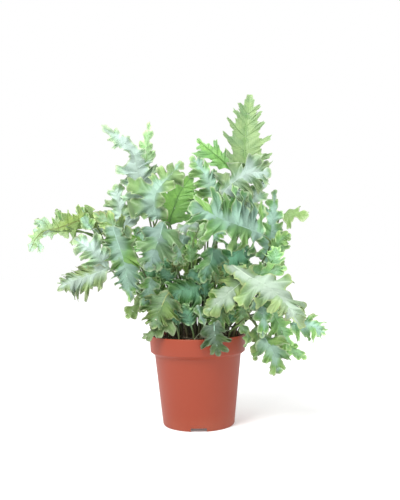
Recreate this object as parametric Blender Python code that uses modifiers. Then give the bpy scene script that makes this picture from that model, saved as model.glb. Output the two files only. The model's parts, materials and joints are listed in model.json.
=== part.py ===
"""Blue star fern in a round plastic plant pot.

The pot is a turned shell with a wider band under its rim, a raised ring in its floor and three
notches in its foot. It is filled with potting soil. Every frond is one solid: a slim stalk that
stands in its own hole in the soil and runs on as the midrib of a lobed, waved blade.
Lengths in this script are in millimetres.
"""

import math
import random

import bpy
from mathutils import Vector
from mathutils.geometry import delaunay_2d_cdt

MM = 0.001
GAP = 0.3

# The pot, from its foot up
POT_HEIGHT = 111.0
FOOT_RADIUS = 44.0
BODY_TOP_RADIUS = 53.6
BAND_LOW_RADIUS = 58.8
RIM_RADIUS = 60.0
BAND_HEIGHT = 20.5
BAND_CHAMFER = 4.0
WALL = 1.4
FLOOR_THICKNESS = 1.6
RAISED_FLOOR = 5.0
RAISED_FROM = 16.0
FOOT_RING_WIDTH = 3.0
NOTCH_COUNT = 3
NOTCH_WIDTH = 19.0
NOTCH_HEIGHT = 4.4
DRAIN_COUNT = 6
DRAIN_RADIUS = 4.0
DRAIN_CIRCLE = 28.0
DRAIN_SIDES = 10
POT_SIDES = 40
RIM_EASE = 0.5
FOOT_EASE = 0.4
FOOT_EASE_HEIGHT = 1.5
FLOOR_SLANT = 1.5
SHARP_ANGLE = 30

# The soil
SOIL_EDGE_HEIGHT = 104.5
SOIL_DOME = 7.0
SOIL_BUMP = 0.9
SOIL_RINGS = 4
SOIL_SIDES = 20

# Every frond
HOLE_DEPTH = 14.0
HOLE_RADIUS = 2.0
HOLE_SIDES = 6
STALK_RADIUS = 1.25
STALK_EDGE = 0.9
STALK_STEP = 90.0
SMALL_LOBE = 16.0
BLADE_THICKNESS = 0.7
LEFT = 1
RIGHT = -1

# Where the eye stands that sees the plant as it is drawn up: a frond's points are given by how far
# across and how high they show in the upright plane through the pot's axis, and by their depth.
EYE = Vector((4.7, -800.0, 205.2))


def seen_at(across, depth, height):
    """The point at this depth that shows at (across, height) in the plane through the axis."""
    in_plane = Vector((across, 0.0, height))
    return EYE + (in_plane - EYE) * (1.0 + depth / -EYE.y)


def frond(name, root, stalk, blade, face, width, pairs, **look):
    """One row of the list of fronds, with the usual looks filled in."""
    row = dict(cut=0.72, blunt=0.5, ruffle=0.18, fold=0.15, bend=0.5, taper=0.58, tone="blue")
    row["lobes"] = {}
    row.update(name="frond_" + name, root=root, stalk=stalk, blade=blade)
    row.update(face=face, width=width, pairs=pairs)
    row.update(look)
    return row


# root: angle and radius on the soil; stalk and blade: (across, depth, height) of points along the
# midrib; face: where the upper side looks; width: the longest lobe; pairs: of lobes; cut: depth of
# the notches; blunt: 0 for pointed lobes, 1 for broad ones; taper: how much shorter the lobes get
# towards the tip; lobes: where a blade isn't that regular, its lobes on the left and on the right,
# each with its share of the midrib, its angle with it, its length and half its width. Left is the
# left hand of someone who looks along the upper side to the tip.
FRONDS = [
    frond("top_spire", (80, 14), [(46, 30, 230), (60, 28, 280)],
          [(64, 22, 303), (63, 26, 340), (66, 34, 376), (71, 44, 410)],
          (0.0, 1.0, 0.1), 37, 5, cut=0.55, blunt=0.25, ruffle=0.06, tone="lime", lobes={
              LEFT: [(0.14, 66, 40, 7), (0.32, 57, 38, 8), (0.48, 52, 32, 6), (0.61, 50, 28, 5.5),
                     (0.75, 44, 20, 4.5)],
              RIGHT: [(0.12, 58, 32, 7), (0.31, 53, 35, 8), (0.48, 51, 33, 6), (0.62, 48, 28, 5.5),
                      (0.75, 44, 20, 4.5)]}),
    frond("top_green", (100, 24), [(28, 34, 230), (46, 36, 300)],
          [(46, 32, 314), (29, 34, 332), (17, 38, 342), (3, 42, 355)],
          (0.0, 1.0, -0.3), 29, 3, cut=0.68, blunt=0.4, tone="green", lobes={
              LEFT: [(0.22, 52, 20, 4), (0.42, 50, 23, 4.5), (0.68, 50, 9, 5)],
              RIGHT: [(0.20, 58, 23, 4.5), (0.52, 56, 29, 7), (0.78, 70, 12, 4)]}),
    frond("top_grey", (70, 9), [(22, 16, 220)],
          [(26, 10, 278), (15, 10, 304), (5, 12, 321), (-6, 15, 333)],
          (0.1, -1.0, 0.3), 27, 4, blunt=0.6),
    frond("top_white", (20, 12), [(26, 0, 230)],
          [(34, 2, 284), (51, -2, 302), (70, -7, 312), (96, -10, 311)],
          (-0.2, -0.9, 0.4), 42, 4, blunt=0.9, tone="pale"),
    frond("top_right", (45, 18), [(48, 8, 220)],
          [(64, 4, 258), (73, 0, 278), (81, -2, 295), (89, -4, 309)],
          (0.1, -1.0, 0.1), 21, 3, blunt=0.6, tone="pale"),
    frond("big_right", (12, 20), [(66, 8, 175), (93, -4, 220)],
          [(84, -22, 233), (67, -30, 241), (48, -40, 248), (30, -46, 255), (14, -49, 264), (-9, -50, 271)],
          (0.0, -1.0, 0.04), 53, 6, blunt=0.6, cut=0.76, ruffle=0.09, lobes={
              LEFT: [(0.09, 100, 32, 6), (0.23, 98, 30, 6.5), (0.37, 96, 38, 7), (0.55, 66, 36, 5),
                     (0.74, 38, 30, 4)],
              RIGHT: [(0.05, 76, 46, 3.6), (0.14, 76, 51, 3.6), (0.24, 72, 46, 4.2), (0.35, 69, 53, 5.4),
                      (0.49, 64, 43, 6.2), (0.62, 58, 38, 4), (0.75, 34, 26, 4.5)]}),
    frond("right_small", (35, 38), [(84, 28, 190), (102, 28, 246)],
          [(108, 18, 258), (123, 8, 260), (142, 0, 256)],
          (0.1, -0.8, 0.7), 26, 2, blunt=0.3, tone="lime"),
    frond("right_upright", (28, 28), [(76, 20, 170)],
          [(90, 16, 195), (93, 12, 227), (97, 8, 258), (100, 8, 290)],
          (0.25, -1.0, 0.1), 26, 5, blunt=0.5),
    frond("right_mid", (5, 34), [(80, 2, 180)],
          [(98, -6, 211), (104, -12, 224), (111, -16, 231), (119, -20, 232)],
          (0.1, -0.9, 0.4), 17, 3, blunt=0.8, tone="green"),
    frond("left_tall", (150, 26), [(-44, 14, 200)],
          [(-57, 8, 270), (-67, 5, 297), (-73, 0, 321), (-77, -7, 338), (-88, -15, 351),
           (-102, -19, 362), (-117, -22, 375)],
          (-0.1, -1.0, 0.3), 34, 6, blunt=0.5, cut=0.55, ruffle=0.14, tone="pale", lobes={
              LEFT: [(0.12, 66, 32, 6.5), (0.26, 80, 26, 5.5), (0.38, 68, 28, 6), (0.54, 60, 8, 5),
                     (0.72, 66, 18, 3.5), (0.82, 70, 12, 2.8)],
              RIGHT: [(0.10, 70, 22, 7), (0.26, 66, 33, 6.5), (0.41, 78, 25, 4), (0.55, 84, 18, 4.5),
                      (0.70, 88, 11, 3.5), (0.81, 46, 13, 2.6)]}),
    frond("left_fork", (140, 18), [(-50, 24, 220)],
          [(-65, 10, 305), (-61, 8, 330), (-60, 6, 352), (-56, 6, 378)],
          (0.3, -1.0, 0.1), 18, 4, blunt=0.4, ruffle=0.1, tone="lime"),
    frond("left_big", (185, 22), [(-50, 20, 190), (-60, 12, 228)],
          [(-48, -26, 256), (-52, -32, 271), (-49, -34, 288), (-38, -32, 303), (-26, -30, 315),
           (-16, -27, 327)],
          (0.0, -1.0, 0.2), 46, 6, blunt=0.9, cut=0.74, ruffle=0.12, lobes={
              LEFT: [(0.05, 112, 29, 7), (0.20, 90, 44, 6.4), (0.36, 84, 46, 7), (0.50, 72, 22, 4.5),
                     (0.63, 68, 19, 5), (0.77, 66, 15, 5)],
              RIGHT: [(0.04, 108, 14, 5), (0.28, 80, 13, 7), (0.52, 60, 18, 8), (0.74, 50, 17, 7)]}),
    frond("green_back", (120, 28), [(-26, 22, 190)],
          [(-34, 8, 246), (-27, 12, 269), (-19, 16, 289), (-4, 20, 308)],
          (0.0, 1.0, 0.1), 34, 4, cut=0.45, blunt=0.6, ruffle=0.06, tone="green"),
    frond("left_arch", (180, 38), [(-80, 10, 185), (-112, 14, 222)],
          [(-124, 8, 246), (-138, 0, 256), (-156, -8, 252), (-173, -14, 246), (-190, -20, 243),
           (-201, -24, 234), (-209, -28, 217)],
          (0.0, 0.8, 0.6), 37, 6, blunt=0.5, cut=0.7, fold=0.2, ruffle=0.14, tone="olive", lobes={
              LEFT: [(0.12, 64, 26, 4), (0.26, 84, 32, 5.5), (0.39, 84, 29, 6.5), (0.52, 78, 30, 6),
                     (0.63, 74, 23, 5), (0.76, 68, 26, 5.5)],
              RIGHT: [(0.08, 70, 10, 5), (0.24, 44, 37, 4.5), (0.44, 56, 16, 6), (0.58, 60, 14, 5),
                      (0.80, 32, 22, 4)]}),
    frond("left_pale", (165, 36), [(-80, 6, 168)],
          [(-110, -6, 195), (-123, -14, 211), (-137, -18, 222), (-154, -20, 232)],
          (-0.2, -0.95, 0.3), 36, 3, blunt=0.8, tone="pale", lobes={
              LEFT: [(0.16, 48, 36, 6.5), (0.46, 60, 20, 5), (0.68, 46, 18, 5)],
              RIGHT: [(0.20, 66, 20, 6.5), (0.48, 74, 24, 6.5), (0.74, 48, 15, 5)]}),
    frond("left_brown", (205, 36), [(-74, -8, 176)],
          [(-109, -24, 194), (-125, -30, 189), (-143, -34, 183), (-160, -38, 177), (-175, -40, 167)],
          (0.0, -1.0, 0.3), 32, 6, blunt=0.0, cut=0.52, ruffle=0.12, tone="pale", lobes={
              LEFT: [(0.16, 66, 25, 5), (0.36, 52, 32, 4.5), (0.49, 50, 29, 3.6), (0.62, 48, 26, 3.6),
                     (0.79, 56, 12, 3.5)],
              RIGHT: [(0.10, 48, 22, 4.5), (0.28, 50, 25, 4.5), (0.43, 52, 21, 3.4), (0.57, 49, 22, 3.4),
                      (0.70, 50, 18, 3), (0.81, 54, 13, 2.6)]}),
    frond("left_hang", (195, 26), [(-62, -6, 180), (-92, -18, 240)],
          [(-104, -32, 248), (-96, -43, 220), (-88, -48, 190), (-83, -50, 151)],
          (-0.1, -1.0, 0.1), 31, 6, blunt=0.1, cut=0.52, ruffle=0.1, lobes={
              LEFT: [(0.08, 80, 12, 5), (0.26, 82, 24, 6.5), (0.42, 60, 30, 6.5), (0.57, 48, 29, 5),
                     (0.69, 44, 22, 4), (0.80, 40, 14, 3.5)],
              RIGHT: [(0.08, 108, 18, 4), (0.18, 108, 24, 3.6), (0.28, 102, 23, 3.6), (0.38, 88, 27, 3.8),
                      (0.48, 82, 26, 3.8), (0.58, 74, 24, 3.8), (0.67, 68, 20, 3.2), (0.76, 62, 15, 3)]}),
    frond("mid_hang", (215, 20), [(-27, 2, 190), (-31, -8, 243)],
          [(-40, -42, 251), (-45, -54, 234), (-53, -58, 214), (-62, -60, 190)],
          (0.0, -1.0, 0.1), 38, 3, blunt=0.8, cut=0.5, ruffle=0.08),
    frond("dark_inner", (170, 20), [(-20, 12, 180)],
          [(-36, 4, 208), (-46, 2, 198), (-57, 2, 188), (-69, 0, 176)],
          (0.0, -1.0, 0.2), 24, 3, blunt=0.6, cut=0.5, tone="deep"),
    frond("teal_star", (20, 20), [(24, -2, 185), (26, -8, 220)],
          [(21, -26, 219), (19, -33, 204), (13, -38, 191), (7, -41, 174)],
          (0.0, -1.0, 0.2), 25, 3, blunt=0.3, cut=0.6, tone="deep"),
    frond("mid_right", (345, 24), [(50, -2, 175), (58, 4, 210)],
          [(60, -6, 217), (50, -11, 210), (40, -13, 202), (29, -14, 192)],
          (0.0, -1.0, 0.1), 31, 3, blunt=0.7, cut=0.6, tone="deep"),
    frond("under_mid", (190, 9), [(-8, 8, 196), (-11, 10, 230)],
          [(-14, -6, 236), (-18, -12, 222), (-22, -14, 211), (-27, -16, 197)],
          (0.0, -1.0, 0.1), 18, 3, blunt=0.6),
    frond("mid_white", (250, 8), [(-4, -6, 190), (-4, -18, 225)],
          [(4, -30, 246), (-12, -38, 246), (-26, -40, 240)],
          (0.0, -0.9, 0.5), 15, 2, blunt=0.9, tone="pale"),
    frond("mid_lime", (350, 8), [(13, 6, 200), (15, 6, 244)],
          [(12, -6, 249), (8, -12, 236), (6, -14, 217)],
          (0.1, -1.0, 0.2), 13, 3, blunt=0.6, tone="lime"),
    frond("olive_mid", (150, 14), [(-6, 24, 180), (0, 28, 208)],
          [(-4, 20, 214), (-13, 14, 204), (-22, 12, 197), (-32, 12, 190)],
          (0.0, -1.0, 0.3), 19, 3, blunt=0.3, cut=0.6, tone="olive"),
    frond("low_mid", (300, 8), [(10, -8, 140)],
          [(6, -18, 170), (-9, -24, 166), (-24, -28, 163), (-37, -30, 156)],
          (0.0, -1.0, 0.3), 36, 4, blunt=0.5, cut=0.6, tone="deep"),
    frond("low_teal", (262, 32), [],
          [(-8, -32, 121), (-11, -33, 131), (-14, -33, 140), (-17, -34, 149)],
          (0.0, -1.0, 0.1), 17, 3, blunt=0.6, cut=0.6, tone="deep"),
    frond("low_centre", (310, 22), [(18, -17, 122)],
          [(20, -18, 132), (21, -19, 143), (21, -19, 154), (19, -18, 167)],
          (0.0, -1.0, 0.1), 15, 3, blunt=0.5, cut=0.6, tone="green"),
    frond("low_back", (222, 30), [],
          [(-24, -19, 122), (-27, -19, 134), (-29, -19, 146), (-29, -18, 160)],
          (0.0, -1.0, 0.1), 17, 3, blunt=0.4, cut=0.6, tone="deep"),
    frond("low_left_blue", (195, 30), [(-50, -10, 160)],
          [(-57, -24, 182), (-60, -30, 167), (-64, -34, 154), (-69, -36, 141)],
          (-0.1, -1.0, 0.2), 19, 3, blunt=0.6),
    frond("low_left_olive", (240, 26), [(-24, -28, 140)],
          [(-35, -40, 163), (-43, -46, 149), (-50, -50, 134), (-57, -52, 118)],
          (0.0, -1.0, 0.2), 33, 4, blunt=0.2, cut=0.55, ruffle=0.08, tone="olive"),
    frond("low_left_tip", (180, 44), [(-56, -2, 130)],
          [(-63, -8, 155), (-71, -12, 149), (-80, -14, 142), (-89, -14, 132)],
          (-0.1, -1.0, 0.4), 18, 2, blunt=0.5, tone="green"),
    frond("bottom_left", (240, 44), [],
          [(-32, -36, 128), (-42, -42, 120), (-54, -46, 114), (-70, -50, 107)],
          (0.0, -0.7, 0.7), 18, 3, blunt=0.3, tone="lime"),
    frond("pale_big", (340, 34), [(42, -6, 150), (45, -9, 185)],
          [(44, -33, 196), (54, -45, 190), (67, -54, 181), (82, -60, 173), (95, -65, 164), (105, -69, 154),
           (114, -73, 143), (122, -76, 130), (133, -79, 116)],
          (0.1, -0.85, 0.5), 37, 6, blunt=1.0, cut=0.66, ruffle=0.1, tone="pale_lime", lobes={
              LEFT: [(0.07, 84, 14, 6), (0.19, 86, 15, 6), (0.43, 56, 37, 7.5), (0.60, 44, 36, 5.6),
                     (0.77, 42, 25, 4.6)],
              RIGHT: [(0.06, 106, 13, 6), (0.18, 96, 13, 7), (0.40, 110, 36, 9), (0.53, 90, 28, 6.5),
                      (0.64, 76, 21, 5.5), (0.73, 67, 18, 4.2), (0.82, 76, 13, 3.4)]}),
    frond("pale_left", (315, 32), [(50, -18, 150)],
          [(62, -32, 178), (48, -40, 168), (30, -47, 153), (9, -52, 135)],
          (0.0, -0.9, 0.4), 28, 3, blunt=0.9, ruffle=0.05, tone="pale_lime"),
    frond("right_cup", (355, 22), [(50, 2, 160)],
          [(66, 0, 184), (79, -9, 184), (95, -15, 187), (113, -18, 192)],
          (0.0, -1.0, 0.25), 20, 3, blunt=0.9, tone="green"),
    frond("under_olive", (328, 40), [(52, -10, 136)],
          [(59, -19, 148), (57, -25, 138), (55, -28, 129), (54, -30, 120)],
          (0.0, -1.0, 0.1), 16, 3, blunt=0.3, tone="olive"),
    frond("under_blue", (352, 44), [(70, -8, 150)],
          [(77, -36, 158), (81, -46, 142), (83, -50, 124), (80, -50, 104)],
          (0.1, -1.0, 0.1), 19, 3, blunt=0.4),
    frond("low_green", (356, 38), [(74, -14, 150)],
          [(89, -30, 141), (100, -36, 124), (108, -38, 108), (115, -38, 87)],
          (0.1, -0.9, 0.3), 24, 4, blunt=0.2, tone="green"),
    frond("right_tips", (5, 42), [(90, -8, 138)],
          [(116, -22, 122), (131, -28, 120), (147, -30, 117), (161, -30, 107)],
          (0.0, -0.8, 0.5), 28, 4, blunt=0.1, cut=0.72),
    frond("low_pale", (330, 50), [(63, -42, 130)],
          [(81, -42, 108), (90, -50, 95), (97, -54, 78), (102, -57, 59)],
          (0.0, -1.0, 0.2), 27, 3, blunt=0.6),
    frond("low_side", (10, 48), [(74, 2, 132)],
          [(97, -14, 110), (109, -20, 98), (121, -24, 87), (136, -24, 77)],
          (0.0, -0.9, 0.4), 19, 3, blunt=0.4, tone="green"),
    frond("low_dark", (348, 50), [(66, -14, 130)],
          [(74, -20, 121), (76, -24, 108), (75, -26, 94), (71, -28, 76)],
          (0.2, -1.0, 0.2), 15, 2, blunt=0.7, tone="olive"),
    frond("rim_hang", (290, 44), [],
          [(21, -54, 125), (21, -64, 115), (23, -70, 103), (26, -72, 82)],
          (0.0, -1.0, 0.3), 27, 3, blunt=0.1),
    frond("inner_low", (300, 30), [(32, -22, 140)],
          [(35, -33, 151), (31, -38, 140), (28, -40, 130), (24, -42, 118)],
          (0.0, -1.0, 0.1), 24, 3, blunt=0.5, cut=0.6, tone="deep"),
    frond("soil_pale", (275, 20), [(1, -24, 138)],
          [(0, -38, 147), (3, -43, 138), (6, -46, 128), (10, -48, 116)],
          (0.1, -1.0, 0.1), 8, 2, blunt=0.6),
    frond("rim_curl", (320, 49), [],
          [(53, -48, 121), (61, -54, 112), (63, -56, 102), (58, -58, 93)],
          (0.2, -1.0, 0.3), 8, 2, blunt=0.6, tone="green"),
    frond("left_back", (155, 34), [(-70, 12, 190)],
          [(-86, 14, 240), (-93, 15, 262), (-98, 17, 280), (-101, 19, 300)],
          (-0.3, -1.0, 0.2), 32, 4, blunt=0.7, tone="pale"),
    frond("left_mid", (172, 30), [(-60, 12, 180)],
          [(-84, -4, 226), (-98, -12, 242), (-112, -16, 254), (-129, -18, 264)],
          (-0.2, -1.0, 0.2), 22, 4, blunt=0.6, tone="olive"),
    frond("back_left", (105, 32), [(8, 36, 190)],
          [(11, 46, 234), (5, 62, 260), (-1, 77, 281), (-7, 88, 291)],
          (0.0, 1.0, 0.4), 28, 3, blunt=0.7, tone="green"),
    frond("back_right", (70, 32), [(40, 34, 190)],
          [(49, 42, 236), (56, 60, 262), (63, 80, 277), (68, 95, 271)],
          (0.1, 1.0, 0.5), 26, 3, blunt=0.6),
    frond("back_right_low", (45, 42), [(66, 38, 150)],
          [(73, 46, 185), (90, 62, 199), (98, 80, 199), (102, 95, 186)],
          (0.4, 0.9, 0.5), 26, 3, blunt=0.5, tone="green"),
    frond("back_left_high", (140, 36), [(-56, 26, 180)],
          [(-70, 32, 223), (-83, 50, 230), (-89, 65, 217), (-92, 76, 195)],
          (-0.5, 0.9, 0.5), 26, 3, blunt=0.6),
    frond("back_low", (65, 42), [(30, 40, 140)],
          [(35, 46, 165), (60, 62, 171), (82, 76, 164), (91, 82, 145)],
          (0.1, 1.0, 0.5), 26, 3, blunt=0.4, tone="deep"),
    frond("back_left_low", (130, 42), [(-28, 36, 140)],
          [(-34, 42, 166), (-52, 58, 173), (-64, 72, 165), (-69, 83, 148)],
          (-0.3, 1.0, 0.4), 22, 3, blunt=0.6, tone="green"),
    frond("back_mid_low", (95, 42), [(-2, 44, 140)],
          [(-2, 48, 166), (4, 66, 184), (10, 86, 178), (14, 97, 153)],
          (0.0, 1.0, 0.5), 26, 3, blunt=0.5),
    frond("back_mid", (115, 38), [(-12, 32, 170)],
          [(-14, 36, 203), (-20, 52, 222), (-25, 72, 229), (-30, 87, 216)],
          (-0.1, 1.0, 0.5), 26, 3, blunt=0.7, tone="pale"),
]

TONES = {
    "blue": (0.25, 0.48, 0.36),
    "pale": (0.45, 0.62, 0.50),
    "lime": (0.38, 0.58, 0.18),
    "green": (0.16, 0.40, 0.10),
    "deep": (0.08, 0.28, 0.18),
    "olive": (0.25, 0.38, 0.12),
    "pale_lime": (0.50, 0.68, 0.36),
}


def clear_scene():
    for obj in list(bpy.data.objects):
        bpy.data.objects.remove(obj)


def new_collection(name, inside=None):
    made = bpy.data.collections.new(name)
    (inside or bpy.context.scene.collection).children.link(made)
    return made


def material(name, colour, roughness):
    """A plain finish, made once for each name."""
    made = bpy.data.materials.get(name)
    if made is None:
        made = bpy.data.materials.new(name)
        made.use_nodes = True
        shader = made.node_tree.nodes["Principled BSDF"]
        shader.inputs["Base Color"].default_value = (*colour, 1.0)
        shader.inputs["Roughness"].default_value = roughness
        shader.inputs["Metallic"].default_value = 0.0
    return made


def mesh_object(name, points, edges, faces, collection):
    """An object from points in millimetres."""
    mesh = bpy.data.meshes.new(name)
    mesh.from_pydata([Vector(p) * MM for p in points], edges, faces)
    mesh.update()
    obj = bpy.data.objects.new(name, mesh)
    collection.objects.link(obj)
    return obj


def turned(name, profile, sides, collection):
    """A closed solid from (radius, height) pairs that run down its outside first."""
    around = [(i, (i + 1) % len(profile)) for i in range(len(profile))]
    obj = mesh_object(name, [(r, 0.0, z) for r, z in profile], around, [], collection)
    screw = obj.modifiers.new("turn", "SCREW")
    screw.steps = sides
    screw.render_steps = sides
    screw.use_merge_vertices = True
    screw.merge_threshold = 0.01 * MM
    return obj


def as_cutter(obj, name, cutters):
    """Moves a primitive that was just added to the cutters, out of sight of a render."""
    obj.name = name
    for other in list(obj.users_collection):
        other.objects.unlink(obj)
    cutters.objects.link(obj)
    obj.hide_render = True
    obj.display_type = "WIRE"


def apply_modifiers(obj):
    graph = bpy.context.evaluated_depsgraph_get()
    whole = bpy.data.meshes.new_from_object(obj.evaluated_get(graph))
    obj.modifiers.clear()
    obj.data = whole


def cut_away(obj, cutters):
    """Takes the cutters out of an object for good, and removes them."""
    cut = obj.modifiers.new("cut", "BOOLEAN")
    cut.operation = "DIFFERENCE"
    cut.operand_type = "COLLECTION"
    cut.collection = cutters
    cut.solver = "EXACT"
    apply_modifiers(obj)
    for cutter in list(cutters.objects):
        bpy.data.objects.remove(cutter)
    bpy.data.collections.remove(cutters)


def on_circle(angle, radius):
    """Where a point on a circle round the pot's axis lies; the angle is in degrees from +X."""
    return radius * math.cos(math.radians(angle)), radius * math.sin(math.radians(angle))


BODY_TOP = POT_HEIGHT - BAND_HEIGHT - BAND_CHAMFER
BAND_LOW = POT_HEIGHT - BAND_HEIGHT
FOOT_INNER = FOOT_RADIUS - WALL
FLOOR_TOP = RAISED_FLOOR + FLOOR_THICKNESS


def build_pot(plant, cutters_in):
    """The shell, with the notches in its foot and the drain holes in its raised ring."""
    ring = FOOT_RADIUS - FOOT_RING_WIDTH
    profile = [
        (RIM_RADIUS - WALL, POT_HEIGHT),
        (RIM_RADIUS, POT_HEIGHT - RIM_EASE),
        (BAND_LOW_RADIUS, BAND_LOW),
        (BODY_TOP_RADIUS, BODY_TOP),
        (FOOT_RADIUS + FOOT_EASE, FOOT_EASE_HEIGHT),
        (FOOT_RADIUS - FOOT_EASE, 0.0),
        (ring, 0.0),
        (ring - FLOOR_SLANT, RAISED_FLOOR),
        (RAISED_FROM, RAISED_FLOOR),
        (RAISED_FROM - FLOOR_SLANT, 0.0),
        (0.0, 0.0),
        (0.0, FLOOR_THICKNESS),
        (RAISED_FROM - FLOOR_SLANT - 1, FLOOR_THICKNESS),
        (RAISED_FROM - 1, FLOOR_TOP),
        (FOOT_INNER, FLOOR_TOP),
        (BODY_TOP_RADIUS - WALL, BODY_TOP),
        (BAND_LOW_RADIUS - WALL, BAND_LOW),
    ]
    pot = turned("pot", profile, POT_SIDES, plant)
    cutters = new_collection("pot_cutters", cutters_in)
    for i in range(NOTCH_COUNT):
        angle = -90 + 360 / NOTCH_COUNT * i
        x, y = on_circle(angle, FOOT_RADIUS)
        bpy.ops.mesh.primitive_cube_add(size=MM, location=(x * MM, y * MM, 0.0))
        notch = bpy.context.object
        notch.scale = (4 * FOOT_RING_WIDTH, NOTCH_WIDTH, 2 * NOTCH_HEIGHT)
        notch.rotation_euler.z = math.radians(angle)
        as_cutter(notch, f"notch_{i}", cutters)
    for i in range(DRAIN_COUNT):
        x, y = on_circle(360 / DRAIN_COUNT * i, DRAIN_CIRCLE)
        bpy.ops.mesh.primitive_cylinder_add(
            vertices=DRAIN_SIDES, radius=DRAIN_RADIUS * MM, depth=2 * RAISED_FLOOR * MM,
            location=(x * MM, y * MM, RAISED_FLOOR * MM),
        )
        as_cutter(bpy.context.object, f"drain_{i}", cutters)
    cut_away(pot, cutters)
    pot.data.shade_smooth()
    pot.data.set_sharp_from_angle(angle=math.radians(SHARP_ANGLE))
    pot.data.materials.append(material("terracotta_plastic", (0.50, 0.10, 0.06), 0.45))
    return pot


def soil_height(x, y):
    """Top of the soil: a low dome with small bumps."""
    dome = SOIL_DOME * max(0.0, 1.0 - (x * x + y * y) / BODY_TOP_RADIUS**2)
    bumps = math.sin(0.31 * x + 1.3) * math.cos(0.27 * y) + 0.6 * math.sin(0.47 * y - 0.22 * x)
    return SOIL_EDGE_HEIGHT + dome + SOIL_BUMP * bumps


def build_soil(plant, cutters_in):
    """The filling: it follows the pot's inner wall and has a hole for every stalk."""
    slack = WALL + 3 * GAP
    band_share = (SOIL_EDGE_HEIGHT - BAND_LOW) / BAND_HEIGHT
    edge = BAND_LOW_RADIUS + (RIM_RADIUS - BAND_LOW_RADIUS) * band_share - slack
    floor = FLOOR_TOP + GAP
    profile = [(edge * k / SOIL_RINGS, SOIL_EDGE_HEIGHT) for k in range(SOIL_RINGS + 1)]
    profile += [
        (BAND_LOW_RADIUS - slack, BAND_LOW + 1),
        (BODY_TOP_RADIUS - slack, BODY_TOP),
        (FOOT_RADIUS - slack, floor),
        (0.0, floor),
    ]
    soil = turned("soil", profile, SOIL_SIDES, plant)
    apply_modifiers(soil)
    for vertex in soil.data.vertices:
        x, y, z = vertex.co / MM
        if z > SOIL_EDGE_HEIGHT - 0.1 and math.hypot(x, y) < edge - 1:
            vertex.co.z = soil_height(x, y) * MM
    cutters = new_collection("stalk_holes", cutters_in)
    for row in FRONDS:
        x, y = on_circle(*row["root"])
        middle = soil_height(x, y) + HOLE_DEPTH / 2
        bpy.ops.mesh.primitive_cylinder_add(
            vertices=HOLE_SIDES, radius=HOLE_RADIUS * MM, depth=3 * HOLE_DEPTH * MM,
            location=(x * MM, y * MM, middle * MM),
        )
        as_cutter(bpy.context.object, "hole_for_" + row["name"], cutters)
    cut_away(soil, cutters)
    soil.data.materials.append(material("potting_soil", (0.05, 0.025, 0.015), 0.95))
    return soil


class Course:
    """The smooth line of a frond from its hole to its tip, with a frame at every point."""

    STEPS = 10

    def __init__(self, row):
        x, y = on_circle(*row["root"])
        top = soil_height(x, y)
        self.points = [Vector((x, y, top - HOLE_DEPTH + GAP))]
        knots = [Vector((x, y, top + 3))]
        knots += [seen_at(*p) for p in row["stalk"]]
        blade_knot = len(knots)
        knots += [seen_at(*p) for p in row["blade"]]
        blade_start = self.trace(knots, blade_knot)
        self.lengths = [0.0]
        for a, b in zip(self.points, self.points[1:]):
            self.lengths.append(self.lengths[-1] + (b - a).length)
        self.in_soil = self.lengths[1]
        self.stalk_length = self.lengths[blade_start]
        self.blade_length = self.lengths[-1] - self.stalk_length
        self.set_frames(Vector(row["face"]), blade_start)

    def trace(self, knots, blade_knot):
        """Adds a smooth curve through the knots, which leaves the soil upright."""
        gaps = [(b - a).length for a, b in zip(knots, knots[1:])]
        slopes = [Vector((0.0, 0.0, 1.0))]
        for i in range(1, len(knots) - 1):
            slopes.append((knots[i + 1] - knots[i - 1]) / (gaps[i - 1] + gaps[i]))
        slopes.append((knots[-1] - knots[-2]).normalized() * 1.2 - slopes[-1] * 0.2)
        for i, gap in enumerate(gaps):
            if i == blade_knot:
                blade_start = len(self.points)
            for k in range(self.STEPS):
                t = k / self.STEPS
                self.points.append(
                    knots[i] * (2 * t**3 - 3 * t**2 + 1)
                    + slopes[i] * gap * (t**3 - 2 * t**2 + t)
                    + knots[i + 1] * (3 * t**2 - 2 * t**3)
                    + slopes[i + 1] * gap * (t**3 - t**2)
                )
        self.points.append(knots[-1])
        return blade_start

    def set_frames(self, face, blade_start):
        """Carries the face's direction along the line from the blade's middle, without spin."""
        last = len(self.points) - 1
        self.tangents = []
        for i in range(last + 1):
            ahead = self.points[min(i + 1, last)] - self.points[max(i - 1, 0)]
            self.tangents.append(ahead.normalized())
        middle = (blade_start + last) // 2
        self.normals = [None] * (last + 1)
        for way in (1, -1):
            normal = face
            i = middle
            while 0 <= i <= last:
                tangent = self.tangents[i]
                normal = (normal - tangent * normal.dot(tangent)).normalized()
                self.normals[i] = normal
                i += way

    def at(self, along):
        """Point, direction across the blade and its normal, at a distance from the blade's start."""
        distance = min(max(along + self.stalk_length, 0.0), self.lengths[-1])
        i = 0
        while i < len(self.lengths) - 2 and self.lengths[i + 1] < distance:
            i += 1
        t = (distance - self.lengths[i]) / (self.lengths[i + 1] - self.lengths[i])
        point = self.points[i].lerp(self.points[i + 1], t)
        tangent = self.tangents[i].lerp(self.tangents[i + 1], t).normalized()
        normal = self.normals[i].lerp(self.normals[i + 1], t)
        normal = (normal - tangent * normal.dot(tangent)).normalized()
        return point, normal.cross(tangent), normal


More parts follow.
